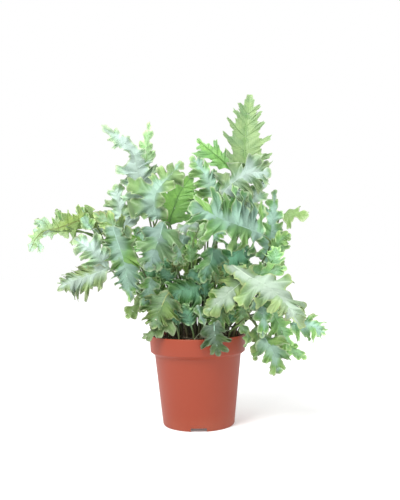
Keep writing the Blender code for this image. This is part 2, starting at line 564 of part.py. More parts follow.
class Lobes:
    """The flat form of one blade, in distances along its midrib and across from it.

    The shares are of the blade's length, the angles between a vein and the midrib, in degrees.
    The last two values are the range by which the lobes' lengths differ.
    """

    FIRST = 0.03
    SPREAD = 0.82
    LAST_NOTCH = 0.86
    BEFORE_TIP = 0.93
    AT_TIP = 0.985
    BASE_ANGLE = 74
    TIP_ANGLE = 40
    LONGEST_AT = 0.35
    LOWEST_REACH = 0.72
    VEIN_SHARE = 0.55
    USUAL_DIFFER = (0.84, 1.14)
    DRAWN_DIFFER = (0.94, 1.05)

    def __init__(self, row, length):
        self.row = row
        self.length = length
        self.pitch = self.SPREAD * length / row["pairs"]
        self.random = random.Random(row["name"])
        self.phase = {side: self.random.uniform(0, 6.28) for side in (LEFT, RIGHT)}
        self.lobes = {side: row["lobes"].get(side) or self.usual() for side in (LEFT, RIGHT)}
        self.differ = self.DRAWN_DIFFER if row["lobes"] else self.USUAL_DIFFER

    def usual(self):
        """Even lobes, longest below the blade's middle."""
        made = []
        for i in range(self.row["pairs"]):
            share = (i + 0.5) / self.row["pairs"]
            grown = math.sin(math.pi / 2 * min(1.0, share / self.LONGEST_AT))
            rise = self.LOWEST_REACH + (1 - self.LOWEST_REACH) * grown
            reach = self.row["width"] * (1 - self.row["taper"] * share**1.5) * rise
            angle = self.BASE_ANGLE + (self.TIP_ANGLE - self.BASE_ANGLE) * share
            half = 0.5 * self.pitch * math.sin(math.radians(angle))
            made.append((self.FIRST + self.SPREAD * share, angle, reach, half))
        return made

    def place(self, i, side):
        """Where the vein of lobe i leaves the midrib."""
        return self.length * self.lobes[side][i][0]

    def places(self):
        """Where lobes of either side meet the midrib."""
        return sorted({self.length * lobe[0] for side in self.lobes.values() for lobe in side})

    def notch(self, i, side):
        """The notch below lobe i; the lowest one is where the blade leaves the stalk."""
        lobes = self.lobes[side]
        if i == 0:
            return Vector((0.0, STALK_RADIUS))
        if i == len(lobes):
            return Vector((self.length * self.LAST_NOTCH, 0.6 * (1 - self.row["cut"]) * lobes[-1][2]))
        depth = (1 - self.row["cut"]) * (lobes[i - 1][2] + lobes[i][2]) / 2
        middle = (self.place(i - 1, side) + self.place(i, side)) / 2
        return Vector((middle + depth / math.tan(math.radians((lobes[i - 1][1] + lobes[i][1]) / 2)), depth))

    def lobe(self, i, side):
        """Shoulder, corner, tip and shoulder of a lobe, and the middle of its vein."""
        blunt = self.row["blunt"]
        _, angle, reach, half = self.lobes[side][i]
        reach *= self.random.uniform(*self.differ)
        jog = 0.28 * half / math.sin(math.radians(angle)) / reach
        angle = math.radians(angle) + self.random.uniform(-jog, jog)
        forward = Vector((math.cos(angle), math.sin(angle)))
        aside = Vector((math.sin(angle), -math.cos(angle)))
        start = Vector((self.place(i, side), 0.0))
        form = [
            (0.56, -0.58 - 0.20 * blunt),
            (0.89 + 0.04 * blunt, -0.26 - 0.46 * blunt),
            (1.0, 0.10 + 0.34 * blunt),
            (0.66 + 0.08 * blunt, 0.52 + 0.33 * blunt),
        ]
        if reach < SMALL_LOBE:
            form = [(0.66, form[0][1]), (1.0, -0.1), (0.78, form[3][1])]
        outline = []
        for out, wide in form:
            out += self.random.uniform(-0.05, 0.05)
            outline.append(start + forward * reach * out + aside * half * wide)
        vein = None if reach < SMALL_LOBE else start + forward * reach * self.VEIN_SHARE
        return outline, vein

    def side(self, side):
        """One half of the outline from stalk to tip, and the middles of its veins."""
        outline, veins = [], []
        count = len(self.lobes[side])
        for i in range(count):
            outline.append(self.notch(i, side))
            ends, vein = self.lobe(i, side)
            outline += ends
            veins.append((self.place(i, side), vein))
        outline.append(self.notch(count, side))
        last = self.lobes[side][-1][2]
        blunt = self.row["blunt"]
        outline.append(Vector((self.length * self.BEFORE_TIP, last * (0.26 + 0.12 * blunt))))
        outline.append(Vector((self.length * self.AT_TIP, last * (0.08 + 0.16 * blunt))))
        veins = [(place, vein) for place, vein in veins if vein]
        for point in (*outline, *(vein for _, vein in veins)):
            point.y *= side
        return outline, veins

    def lift(self, along, across):
        """How a point of the flat blade moves towards the midrib and off its plane."""
        row = self.row
        share = abs(across) / row["width"]
        tilt = row["fold"] + 0.5 * row["bend"] * share
        side = LEFT if across > 0 else RIGHT
        turns = (along - 0.6 * abs(across)) / self.pitch * math.pi
        wave = 0.75 * math.sin(turns + self.phase[side]) + 0.4 * math.sin(0.7 * turns + 2 * self.phase[side])
        rise = row["ruffle"] * row["width"] * share**1.4 * wave
        return across * math.cos(tilt), rise - abs(across) * math.sin(tilt)


def flat_frond(course, lobes):
    """Points and triangles of the frond laid flat: stalk strip, midrib, veins and lobes."""
    above_soil = course.stalk_length - course.in_soil
    stalk = [-course.stalk_length]
    steps = 2 + int(above_soil / STALK_STEP)
    stalk += [-above_soil * (1 - k / steps) for k in range(steps)]
    left, left_veins = lobes.side(LEFT)
    right, right_veins = lobes.side(RIGHT)
    outline = [Vector((along, STALK_RADIUS)) for along in stalk] + left
    outline.append(Vector((course.blade_length, 0.0)))
    outline += right[::-1]
    outline += [Vector((along, -STALK_RADIUS)) for along in reversed(stalk)]
    count = len(outline)
    edges = [(i, (i + 1) % count) for i in range(count)]
    veins = left_veins + right_veins
    rib = [*stalk[1:], 0.0]
    rib += lobes.places()
    rib.append(course.blade_length * 0.9)
    points = outline + [Vector((along, 0.0)) for along in rib]
    chain = list(range(count, len(points)))
    chain.append(len(stalk) + len(left))
    edges += list(zip(chain, chain[1:]))
    for place, vein in veins:
        edges.append((count + rib.index(place), len(points)))
        points.append(vein)
    points, _, faces, came_from, _, _ = delaunay_2d_cdt(points, edges, [], 1, 0.00001)
    on_rib = [any(count <= i < count + len(rib) for i in source) for source in came_from]
    return points, faces, on_rib


def build_frond(row, plant):
    """The flat frond bent along its course, and thickened most along the stalk and midrib."""
    course = Course(row)
    lobes = Lobes(row, course.blade_length)
    points, faces, on_rib = flat_frond(course, lobes)
    placed, thickness = [], []
    for point, rib in zip(points, on_rib):
        centre, across, normal = course.at(point.x)
        aside, lift = (point.y, 0.0) if point.x < 0 else lobes.lift(point.x, point.y)
        placed.append(centre + across * aside + normal * lift)
        along = max(0.0, point.x) / course.blade_length
        if rib:
            thickness.append(2 * STALK_RADIUS * (1 - 0.6 * along))
        else:
            thickness.append(STALK_EDGE if point.x < 0 else BLADE_THICKNESS)
    obj = mesh_object(row["name"], placed, [], faces, plant)
    group = obj.vertex_groups.new(name="thickness")
    for i, value in enumerate(thickness):
        group.add([i], value / (2 * STALK_RADIUS), "REPLACE")
    skin = obj.modifiers.new("skin", "SOLIDIFY")
    skin.thickness = 2 * STALK_RADIUS * MM
    skin.offset = 0.0
    skin.vertex_group = "thickness"
    obj.data.materials.append(material("leaf_" + row["tone"], TONES[row["tone"]], 0.6))
    return obj


def main():
    clear_scene()
    plant = new_collection("blue_star_fern")
    cutters = new_collection("cutters")
    cutters.hide_render = True
    build_pot(plant, cutters)
    build_soil(plant, cutters)
    for row in FRONDS:
        build_frond(row, plant)


main()
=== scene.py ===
import bisect
import json
import math
import random

import bmesh
import bpy
from mathutils import Matrix, Vector
from mathutils import noise as hills

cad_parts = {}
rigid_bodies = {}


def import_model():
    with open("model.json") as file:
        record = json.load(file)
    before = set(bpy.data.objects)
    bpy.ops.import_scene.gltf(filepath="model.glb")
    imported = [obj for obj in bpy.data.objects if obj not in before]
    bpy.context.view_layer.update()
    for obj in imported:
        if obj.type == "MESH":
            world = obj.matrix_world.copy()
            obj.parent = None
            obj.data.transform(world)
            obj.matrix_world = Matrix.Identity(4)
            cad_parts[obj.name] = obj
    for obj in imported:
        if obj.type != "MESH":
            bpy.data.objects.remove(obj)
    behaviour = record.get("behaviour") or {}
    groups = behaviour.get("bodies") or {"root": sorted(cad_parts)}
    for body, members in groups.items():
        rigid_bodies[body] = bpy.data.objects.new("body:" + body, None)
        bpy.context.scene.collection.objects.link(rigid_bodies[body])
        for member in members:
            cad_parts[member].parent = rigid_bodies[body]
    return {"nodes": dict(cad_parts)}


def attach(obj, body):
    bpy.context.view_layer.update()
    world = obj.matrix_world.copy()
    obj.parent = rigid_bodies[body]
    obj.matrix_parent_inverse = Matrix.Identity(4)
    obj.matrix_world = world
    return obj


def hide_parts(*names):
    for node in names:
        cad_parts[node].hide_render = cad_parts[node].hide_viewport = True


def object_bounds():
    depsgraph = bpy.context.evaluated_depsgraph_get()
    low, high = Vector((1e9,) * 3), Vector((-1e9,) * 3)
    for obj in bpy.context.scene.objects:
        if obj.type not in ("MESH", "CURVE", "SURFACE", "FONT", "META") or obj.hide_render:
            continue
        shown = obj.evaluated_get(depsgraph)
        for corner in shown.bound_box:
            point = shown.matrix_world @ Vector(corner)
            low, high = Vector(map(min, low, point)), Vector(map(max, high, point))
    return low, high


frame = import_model()
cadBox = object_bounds()
mm = 0.001


# Shader maths: a socket with the operators that the finishes use

class Wire:
    def __init__(self, finish, socket):
        self.finish = finish
        self.socket = socket

    def maths(self, operation, *values):
        return self.finish.node("ShaderNodeMath", dict(enumerate(values)), operation=operation)

    def __add__(self, other):
        return self.maths("ADD", self, other)

    def __sub__(self, other):
        return self.maths("SUBTRACT", self, other)

    def __rsub__(self, other):
        return self.maths("SUBTRACT", other, self)

    def __mul__(self, other):
        return self.maths("MULTIPLY", self, other)

    def __truediv__(self, other):
        return self.maths("DIVIDE", self, other)

    __radd__ = __add__
    __rmul__ = __mul__

    def fraction(self):
        return self.maths("FRACT", self)

    def size(self):
        return self.maths("ABSOLUTE", self)

    def clamped(self):
        return self.maths("MAXIMUM", self.maths("MINIMUM", self, 1.0), 0.0)

    def above(self, low, high):
        inputs = {0: self, 1: low, 2: high}
        return self.finish.node("ShaderNodeMapRange", inputs, interpolation_type="SMOOTHSTEP")


class Finish:
    def __init__(self, name):
        self.material = bpy.data.materials.new(name)
        self.material.use_nodes = True
        self.tree = self.material.node_tree
        self.shader = self.tree.nodes["Principled BSDF"]
        self.place = self.node("ShaderNodeTexCoord", {}, "Object")

    def node(self, kind, inputs, output=0, **settings):
        made = self.tree.nodes.new(kind)
        for key, value in settings.items():
            setattr(made, key, value)
        for key, value in inputs.items():
            self.feed(made.inputs[key], value)
        return Wire(self, made.outputs[output])

    def feed(self, socket, value):
        if isinstance(value, Wire):
            self.tree.links.new(value.socket, socket)
        else:
            socket.default_value = (*value, 1.0) if socket.type == "RGBA" else value

    def split(self, vector):
        first = self.node("ShaderNodeSeparateXYZ", {0: vector})
        return [Wire(self, socket) for socket in first.socket.node.outputs]

    def layer(self, name):
        return self.split(self.node("ShaderNodeAttribute", {}, "Vector", attribute_name=name))

    def speckle(self, scale, detail=2.0, roughness=0.5):
        inputs = {"Vector": self.place, "Scale": scale, "Detail": detail, "Roughness": roughness}
        return self.node("ShaderNodeTexNoise", inputs)

    def blend(self, share, low, high):
        return self.node("ShaderNodeMix", {0: share, 6: low, 7: high}, 2, data_type="RGBA")

    def layered(self, colour, *layers):
        # colours over one another, each with the share of it that shows
        for share, over in layers:
            colour = self.blend(share, colour, over)
        return colour

    def scaled(self, colour, factor):
        return self.node("ShaderNodeVectorMath", {0: colour, 3: factor}, operation="SCALE")

    def bump(self, height, depth, strength=1.0):
        inputs = {"Height": height, "Distance": depth, "Strength": strength}
        self.feed(self.shader.inputs["Normal"], self.node("ShaderNodeBump", inputs))

    def fill(self, **sockets):
        for key, value in sockets.items():
            self.feed(self.shader.inputs[key.replace("_", " ")], value)
        return self.material


# Building pieces

def newPiece(name, bm, finishes, sharpAngle):
    bm.normal_update()
    mesh = bpy.data.meshes.new(name)
    bm.to_mesh(mesh)
    bm.free()
    mesh.shade_smooth()
    mesh.set_sharp_from_angle(angle=math.radians(sharpAngle))
    for finish in finishes:
        mesh.materials.append(finish)
    piece = bpy.data.objects.new(name, mesh)
    bpy.context.scene.collection.objects.link(piece)
    return piece


def onCircle(degrees, radius):
    return Vector((radius * math.cos(math.radians(degrees)), radius * math.sin(math.radians(degrees)), 0.0))


def smoothStep(low, high, value):
    share = min(1.0, max(0.0, (value - low) / (high - low)))
    return share * share * (3 - 2 * share)


# Camera

# It stands where the photograph was taken from. The fronds' points are given as it sees them, in mm:
# how far across and how high they show in the upright plane through the pot's axis, and how deep
# behind that plane they lie.
eye = Vector((4.7, -800.0, 205.2))
cameraLook = {"tiltUp": 0.013, "roll": -0.016, "lens": 45.96, "sensor": 36.0}


def seenAt(across, depth, height):
    inPlane = Vector((across, 0.0, height))
    return eye + (inPlane - eye) * (1.0 + depth / -eye.y)


def addCamera():
    look = cameraLook
    c, s = math.cos(look["tiltUp"]), math.sin(look["tiltUp"])
    right, ahead, up = Vector((1, 0, 0)), Vector((0, c, s)), Vector((0, -s, c))
    c, s = math.cos(look["roll"]), math.sin(look["roll"])
    turned = Matrix((right * c + up * s, up * c - right * s, -ahead)).transposed()
    data = bpy.data.cameras.new("camera")
    data.lens = look["lens"]
    data.sensor_width = look["sensor"]
    camera = bpy.data.objects.new("camera", data)
    camera.matrix_world = Matrix.Translation(eye * mm) @ turned.to_4x4()
    bpy.context.scene.collection.objects.link(camera)
    bpy.context.scene.camera = camera


addCamera()
print("camera in place")


# Pot

potLook = {
    "colour": (0.245, 0.029, 0.005),
    # the dust's colour, which is also painted along the top of the rim as a highlight
    "dustAndHighlightColour": (0.31, 0.085, 0.04),
    "roughness": 0.42,
    "sides": 120,
    "edge": 0.35,  # how far its corners are rounded, mm
}
pot = {
    "height": 111.0, "foot": 44.0, "bodyTop": 53.6, "bandLow": 58.8, "rim": 60.0, "band": 20.5,
    "chamfer": 4.0, "wall": 1.4, "floor": 1.6, "raised": 5.0, "raisedFrom": 16.0, "footRing": 3.0,
    "rimEase": 0.5, "footEase": 0.4, "footEaseHeight": 1.5, "floorSlant": 1.5,
    "notches": 3, "notchWidth": 19.0, "notchHeight": 4.4, "notchEdge": 0.8,
    "drains": 6, "drainRadius": 4.0, "drainCircle": 28.0, "drainSides": 32,
}
pot["bodyTopHeight"] = pot["height"] - pot["band"] - pot["chamfer"]
pot["bandLowHeight"] = pot["height"] - pot["band"]


def potProfile():
    ring = pot["foot"] - pot["footRing"]
    raisedEnd = pot["raisedFrom"] - pot["floorSlant"]
    floorTop = pot["raised"] + pot["floor"]
    return [
        (pot["rim"] - pot["wall"], pot["height"]),
        (pot["rim"], pot["height"] - pot["rimEase"]),
        (pot["bandLow"], pot["bandLowHeight"]),
        (pot["bodyTop"], pot["bodyTopHeight"]),
        (pot["foot"] + pot["footEase"], pot["footEaseHeight"]),
        (pot["foot"] - pot["footEase"], 0.0),
        (ring, 0.0),
        (ring - pot["floorSlant"], pot["raised"]),
        (pot["raisedFrom"], pot["raised"]),
        (raisedEnd, 0.0),
        (0.0, 0.0),
        (0.0, pot["floor"]),
        (raisedEnd - 1, pot["floor"]),
        (pot["raisedFrom"] - 1, floorTop),
        (pot["foot"] - pot["wall"], floorTop),
        (pot["bodyTop"] - pot["wall"], pot["bodyTopHeight"]),
        (pot["bandLow"] - pot["wall"], pot["bandLowHeight"]),
    ]


def potFinish():
    finish = Finish("terracottaPlastic")
    height = finish.split(finish.place)[2] / (pot["height"] * mm)
    patches = finish.speckle(14.0, 4.0, 0.6)
    grains = finish.speckle(900.0)
    # lighter towards the foot and in patches, which is dust; the lighter band along the top of the rim is a
    # painted highlight
    dustAndRimHighlight = (1.0 - height.above(0.0, 0.2)) * 0.35 + height.above(0.97, 1.0) * 0.25
    dustAndRimHighlight = (dustAndRimHighlight * patches.above(0.3, 0.7) + patches.above(0.45, 0.8) * 0.10).clamped()
    colour = finish.blend(dustAndRimHighlight, potLook["colour"], potLook["dustAndHighlightColour"])
    finish.bump(grains, 0.00008, 0.35)
    return finish.fill(Base_Color=colour, Roughness=potLook["roughness"] + 0.16 * patches)


def cutter(bm, matrix, group):
    bmesh.ops.transform(bm, matrix=matrix, verts=bm.verts)
    bmesh.ops.recalc_face_normals(bm, faces=bm.faces)
    mesh = bpy.data.meshes.new("cutter")
    bm.to_mesh(mesh)
    bm.free()
    group.objects.link(bpy.data.objects.new("cutter", mesh))


def makePot():
    bm = bmesh.new()
    points = [bm.verts.new((r * mm, 0, z * mm)) for r, z in potProfile()]
    for a, b in zip(points, points[1:] + points[:1]):
        bm.edges.new((a, b))
    bmesh.ops.bevel(
        bm, geom=[p for p in points if p.co.x > 0.001], offset=potLook["edge"] * mm, offset_type="OFFSET",
        segments=3, profile=0.5, affect="VERTICES", material=-1,
    )
    bmesh.ops.spin(
        bm, geom=bm.verts[:] + bm.edges[:], cent=(0, 0, 0), axis=(0, 0, 1), angle=2 * math.pi,
        steps=potLook["sides"], use_merge=True,
    )
    bmesh.ops.remove_doubles(bm, verts=bm.verts, dist=0.00001)
    bmesh.ops.recalc_face_normals(bm, faces=bm.faces)
    shell = newPiece("potShell", bm, [potFinish()], 30)
    cutters = bpy.data.collections.new("cutters")
    for k in range(pot["notches"]):
        angle = -90 + 360 / pot["notches"] * k
        bm = bmesh.new()
        bmesh.ops.create_cube(bm, size=mm)
        size = (4 * pot["footRing"], pot["notchWidth"], 2 * pot["notchHeight"])
        bmesh.ops.scale(bm, vec=size, verts=bm.verts)
        tops = [e for e in bm.edges if min(v.co.z for v in e.verts) > 0
                and abs(e.verts[0].co.y - e.verts[1].co.y) < 1e-6]
        bmesh.ops.bevel(
            bm, geom=tops, offset=pot["notchEdge"] * mm, segments=3, profile=0.5, affect="EDGES", material=-1,
        )
        place = Matrix.Translation(onCircle(angle, pot["foot"]) * mm)
        cutter(bm, place @ Matrix.Rotation(math.radians(angle), 4, "Z"), cutters)
    for k in range(pot["drains"]):
        bm = bmesh.new()
        radius = pot["drainRadius"] * mm
        bmesh.ops.create_cone(
            bm, cap_ends=True, segments=pot["drainSides"], radius1=radius, radius2=radius,
            depth=2 * pot["raised"] * mm,
        )
        at = onCircle(360 / pot["drains"] * k, pot["drainCircle"]) + Vector((0, 0, pot["raised"]))
        cutter(bm, Matrix.Translation(at * mm), cutters)
    cut = shell.modifiers.new("cut", "BOOLEAN")
    cut.operand_type = "COLLECTION"
    cut.collection = cutters
    whole = bpy.data.meshes.new_from_object(shell.evaluated_get(bpy.context.evaluated_depsgraph_get()))
    shell.modifiers.clear()
    shell.data = whole
    for old in list(cutters.objects):
        bpy.data.objects.remove(old)
    bpy.data.collections.remove(cutters)
    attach(shell, "root")
    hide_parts("pot")


makePot()
print("pot made")


# Soil

soilLook = {
    "colour": (0.055, 0.042, 0.026),
    "dryColour": (0.30, 0.25, 0.16),
    "edgeHeight": 104.5,
    "gap": 0.9,  # between the soil and the pot's wall, mm
    "dome": 7.0,
    "bump": 0.9,
    "skirt": 12.0,
    "skirtTaper": 0.985,
    "sides": 96,
    "rings": 26,
    "crumbs": 900,
    "crumbSizes": (0.5, 1.9),
    "crumbEdge": 2.5,  # how far the crumbs stay from the edge, mm
}
soilRandom = random.Random("potting soil")


def soilHeight(x, y):
    dome = soilLook["dome"] * max(0.0, 1.0 - (x * x + y * y) / pot["bodyTop"] ** 2)
    bumps = math.sin(0.31 * x + 1.3) * math.cos(0.27 * y) + 0.6 * math.sin(0.47 * y - 0.22 * x)
    return soilLook["edgeHeight"] + dome + soilLook["bump"] * bumps


def soilFinish():
    finish = Finish("pottingSoil")
    lumps = finish.speckle(260.0, 6.0, 0.7)
    grains = finish.speckle(1500.0, 3.0, 0.6)
    dry = (lumps.above(0.45, 0.7) * 0.8 + grains.above(0.55, 0.75) * 0.4).clamped()
    finish.bump(lumps * 0.7 + grains * 0.3, 0.0012)
    colour = finish.blend(dry, soilLook["colour"], soilLook["dryColour"])
    return finish.fill(Base_Color=colour, Roughness=0.95)


def makeSoil():
    look = soilLook
    share = (look["edgeHeight"] - pot["bandLowHeight"]) / pot["band"]
    edge = pot["bandLow"] + (pot["rim"] - pot["bandLow"]) * share - (pot["wall"] + look["gap"])
    bm = bmesh.new()
    bmesh.ops.create_circle(bm, cap_ends=True, segments=look["sides"], radius=edge * mm)
    step = edge / (look["rings"] + 2) * mm
    for _ in range(look["rings"]):
        middle = [f for f in bm.faces if len(f.verts) > 4]
        bmesh.ops.inset_region(bm, faces=middle, thickness=step, use_even_offset=True)
    bmesh.ops.triangulate(bm, faces=[f for f in bm.faces if len(f.verts) > 4])
    skirt = bmesh.ops.extrude_edge_only(bm, edges=[e for e in bm.edges if e.is_boundary])
    low = {v for v in skirt["geom"] if isinstance(v, bmesh.types.BMVert)}
    bmesh.ops.contextual_create(bm, geom=[e for e in bm.edges if e.is_boundary])
    for vert in bm.verts:
        x, y = vert.co.x / mm, vert.co.y / mm
        if vert in low:
            height = look["edgeHeight"] - look["skirt"]
            vert.co = Vector((x * look["skirtTaper"] * mm, y * look["skirtTaper"] * mm, height * mm))
            continue
        rough = 0.9 * hills.noise(Vector((x, y, 3)) * 0.35) + 0.5 * hills.noise(Vector((x, y, 9)) * 0.9)
        vert.co.z = (soilHeight(x, y) + rough) * mm
    for _ in range(look["crumbs"]):
        size = soilRandom.uniform(*look["crumbSizes"]) * soilRandom.uniform(0.5, 1.0)
        at = onCircle(soilRandom.uniform(0, 360), (edge - look["crumbEdge"]) * math.sqrt(soilRandom.random()))
        at.z = soilHeight(at.x, at.y) + 0.15 * size
        angle = soilRandom.uniform(0, 6.28)
        turn = Matrix.Rotation(angle, 4, Vector((soilRandom.random(), 0.5, soilRandom.random())))
        stretch = Matrix.Diagonal((size * soilRandom.uniform(0.6, 1.6) * mm, size * mm, size * 0.7 * mm, 1))
        crumb = Matrix.Translation(at * mm) @ turn @ stretch
        bmesh.ops.create_icosphere(bm, subdivisions=1, radius=1.0, matrix=crumb)
    bmesh.ops.recalc_face_normals(bm, faces=bm.faces)
    soil = newPiece("soilFilling", bm, [soilFinish()], 60)
    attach(soil, "root")
    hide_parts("soil")


makeSoil()
print("soil made")


# Fronds

frondShape = {
    "holeDepth": 13.7,  # where a stalk starts under the soil, mm
    "firstKnot": 3.0,  # its first point above the soil, mm
    "stalkBase": 1.25,
    "stalkTop": 1.0,
    "ribEnd": 0.3,
    "stalkSides": 8,
    "stalkStep": 6.0,
    "blade": 0.5,  # thickness, mm
    "smallLobe": 16.0,
    "first": 0.03,  # shares of the blade's length
    "spread": 0.82,
    "lastNotch": 0.86,
    "beforeTip": 0.93,
    "atTip": 0.985,
    "baseAngle": 74,
    "tipAngle": 40,
    "longestAt": 0.35,
    "lowestReach": 0.72,
    "fuller": 1.16,  # how much wider the lobes are than the solids', so that they overlap
    "lobeEnd": 0.98,  # the tip's place, of the lobe's reach
    "stray": 0.05,  # how far the corners of its outline stray, of its reach
    "jog": 0.28,  # how far their directions stray, of half their width
    "sway": 0.16,  # how far they bend aside, of their reach
    "web": 1.25,  # how much further the blade's undivided middle reaches
    "waveSlant": 0.6,  # how far the blade's waves lean back towards the stalk
    "wave": 0.75,
    "smallWave": 0.4,
}
bladeLook = {
    "toothStep": 10.0,  # mm of margin for each tooth
    "toothSize": 0.12,  # of the lobe's reach
    "toothMost": 2.9,  # mm
    "toothIn": 0.35,  # the share of a tooth that is cut in
    "frill": 0.26,  # height of the margin's waves, of the lobe's reach
    "frillMost": 8.0,  # mm
    "frillStep": 23.0,  # mm of margin for each wave
    "lobeRise": 0.36,
    "lobeTurn": 0.8,
    "lobeCup": 0.9,
    "lobeCurl": 0.70,
    "curlFrom": 0.3,  # of the lobe's reach
    "loosening": 2.5,  # how soon a lobe moves freely of its neighbours
    "columnStep": 1.35,  # mm between columns along a margin
    "mostColumns": 34,
    "weld": 0.04,  # mm
    "rows": (0.0, 0.22, 0.45, 0.66, 0.83, 0.93, 1.0),
}
usualFrond = {
    "face": (0, -1, 0.1), "tone": "blue", "blunt": 0.5, "cut": 0.72, "ruffle": 0.18, "fold": 0.15,
    "bend": 0.5, "taper": 0.58, "mood": (1, 0, 0), "calm": 1, "paleEnd": 0, "left": [], "right": [],
}
sides = {1: "left", -1: "right"}  # which way from the midrib
layerNames = ("zone", "vein", "mood")  # what the blades' points tell the finishes


def frond(name, width, pairs, root, stalk, blade, **look):
    given = {"name": name, "width": width, "pairs": pairs, "root": root, "stalk": stalk, "blade": blade}
    return usualFrond | given | look


def inner(name, width, tone, root, stalk, *blade, **look):
    usual = {"tone": tone, "face": (0, -1, 0.2), "cut": 0.6}
    return frond("inner_" + name, width, 3, root, [stalk], blade, **(usual | look))


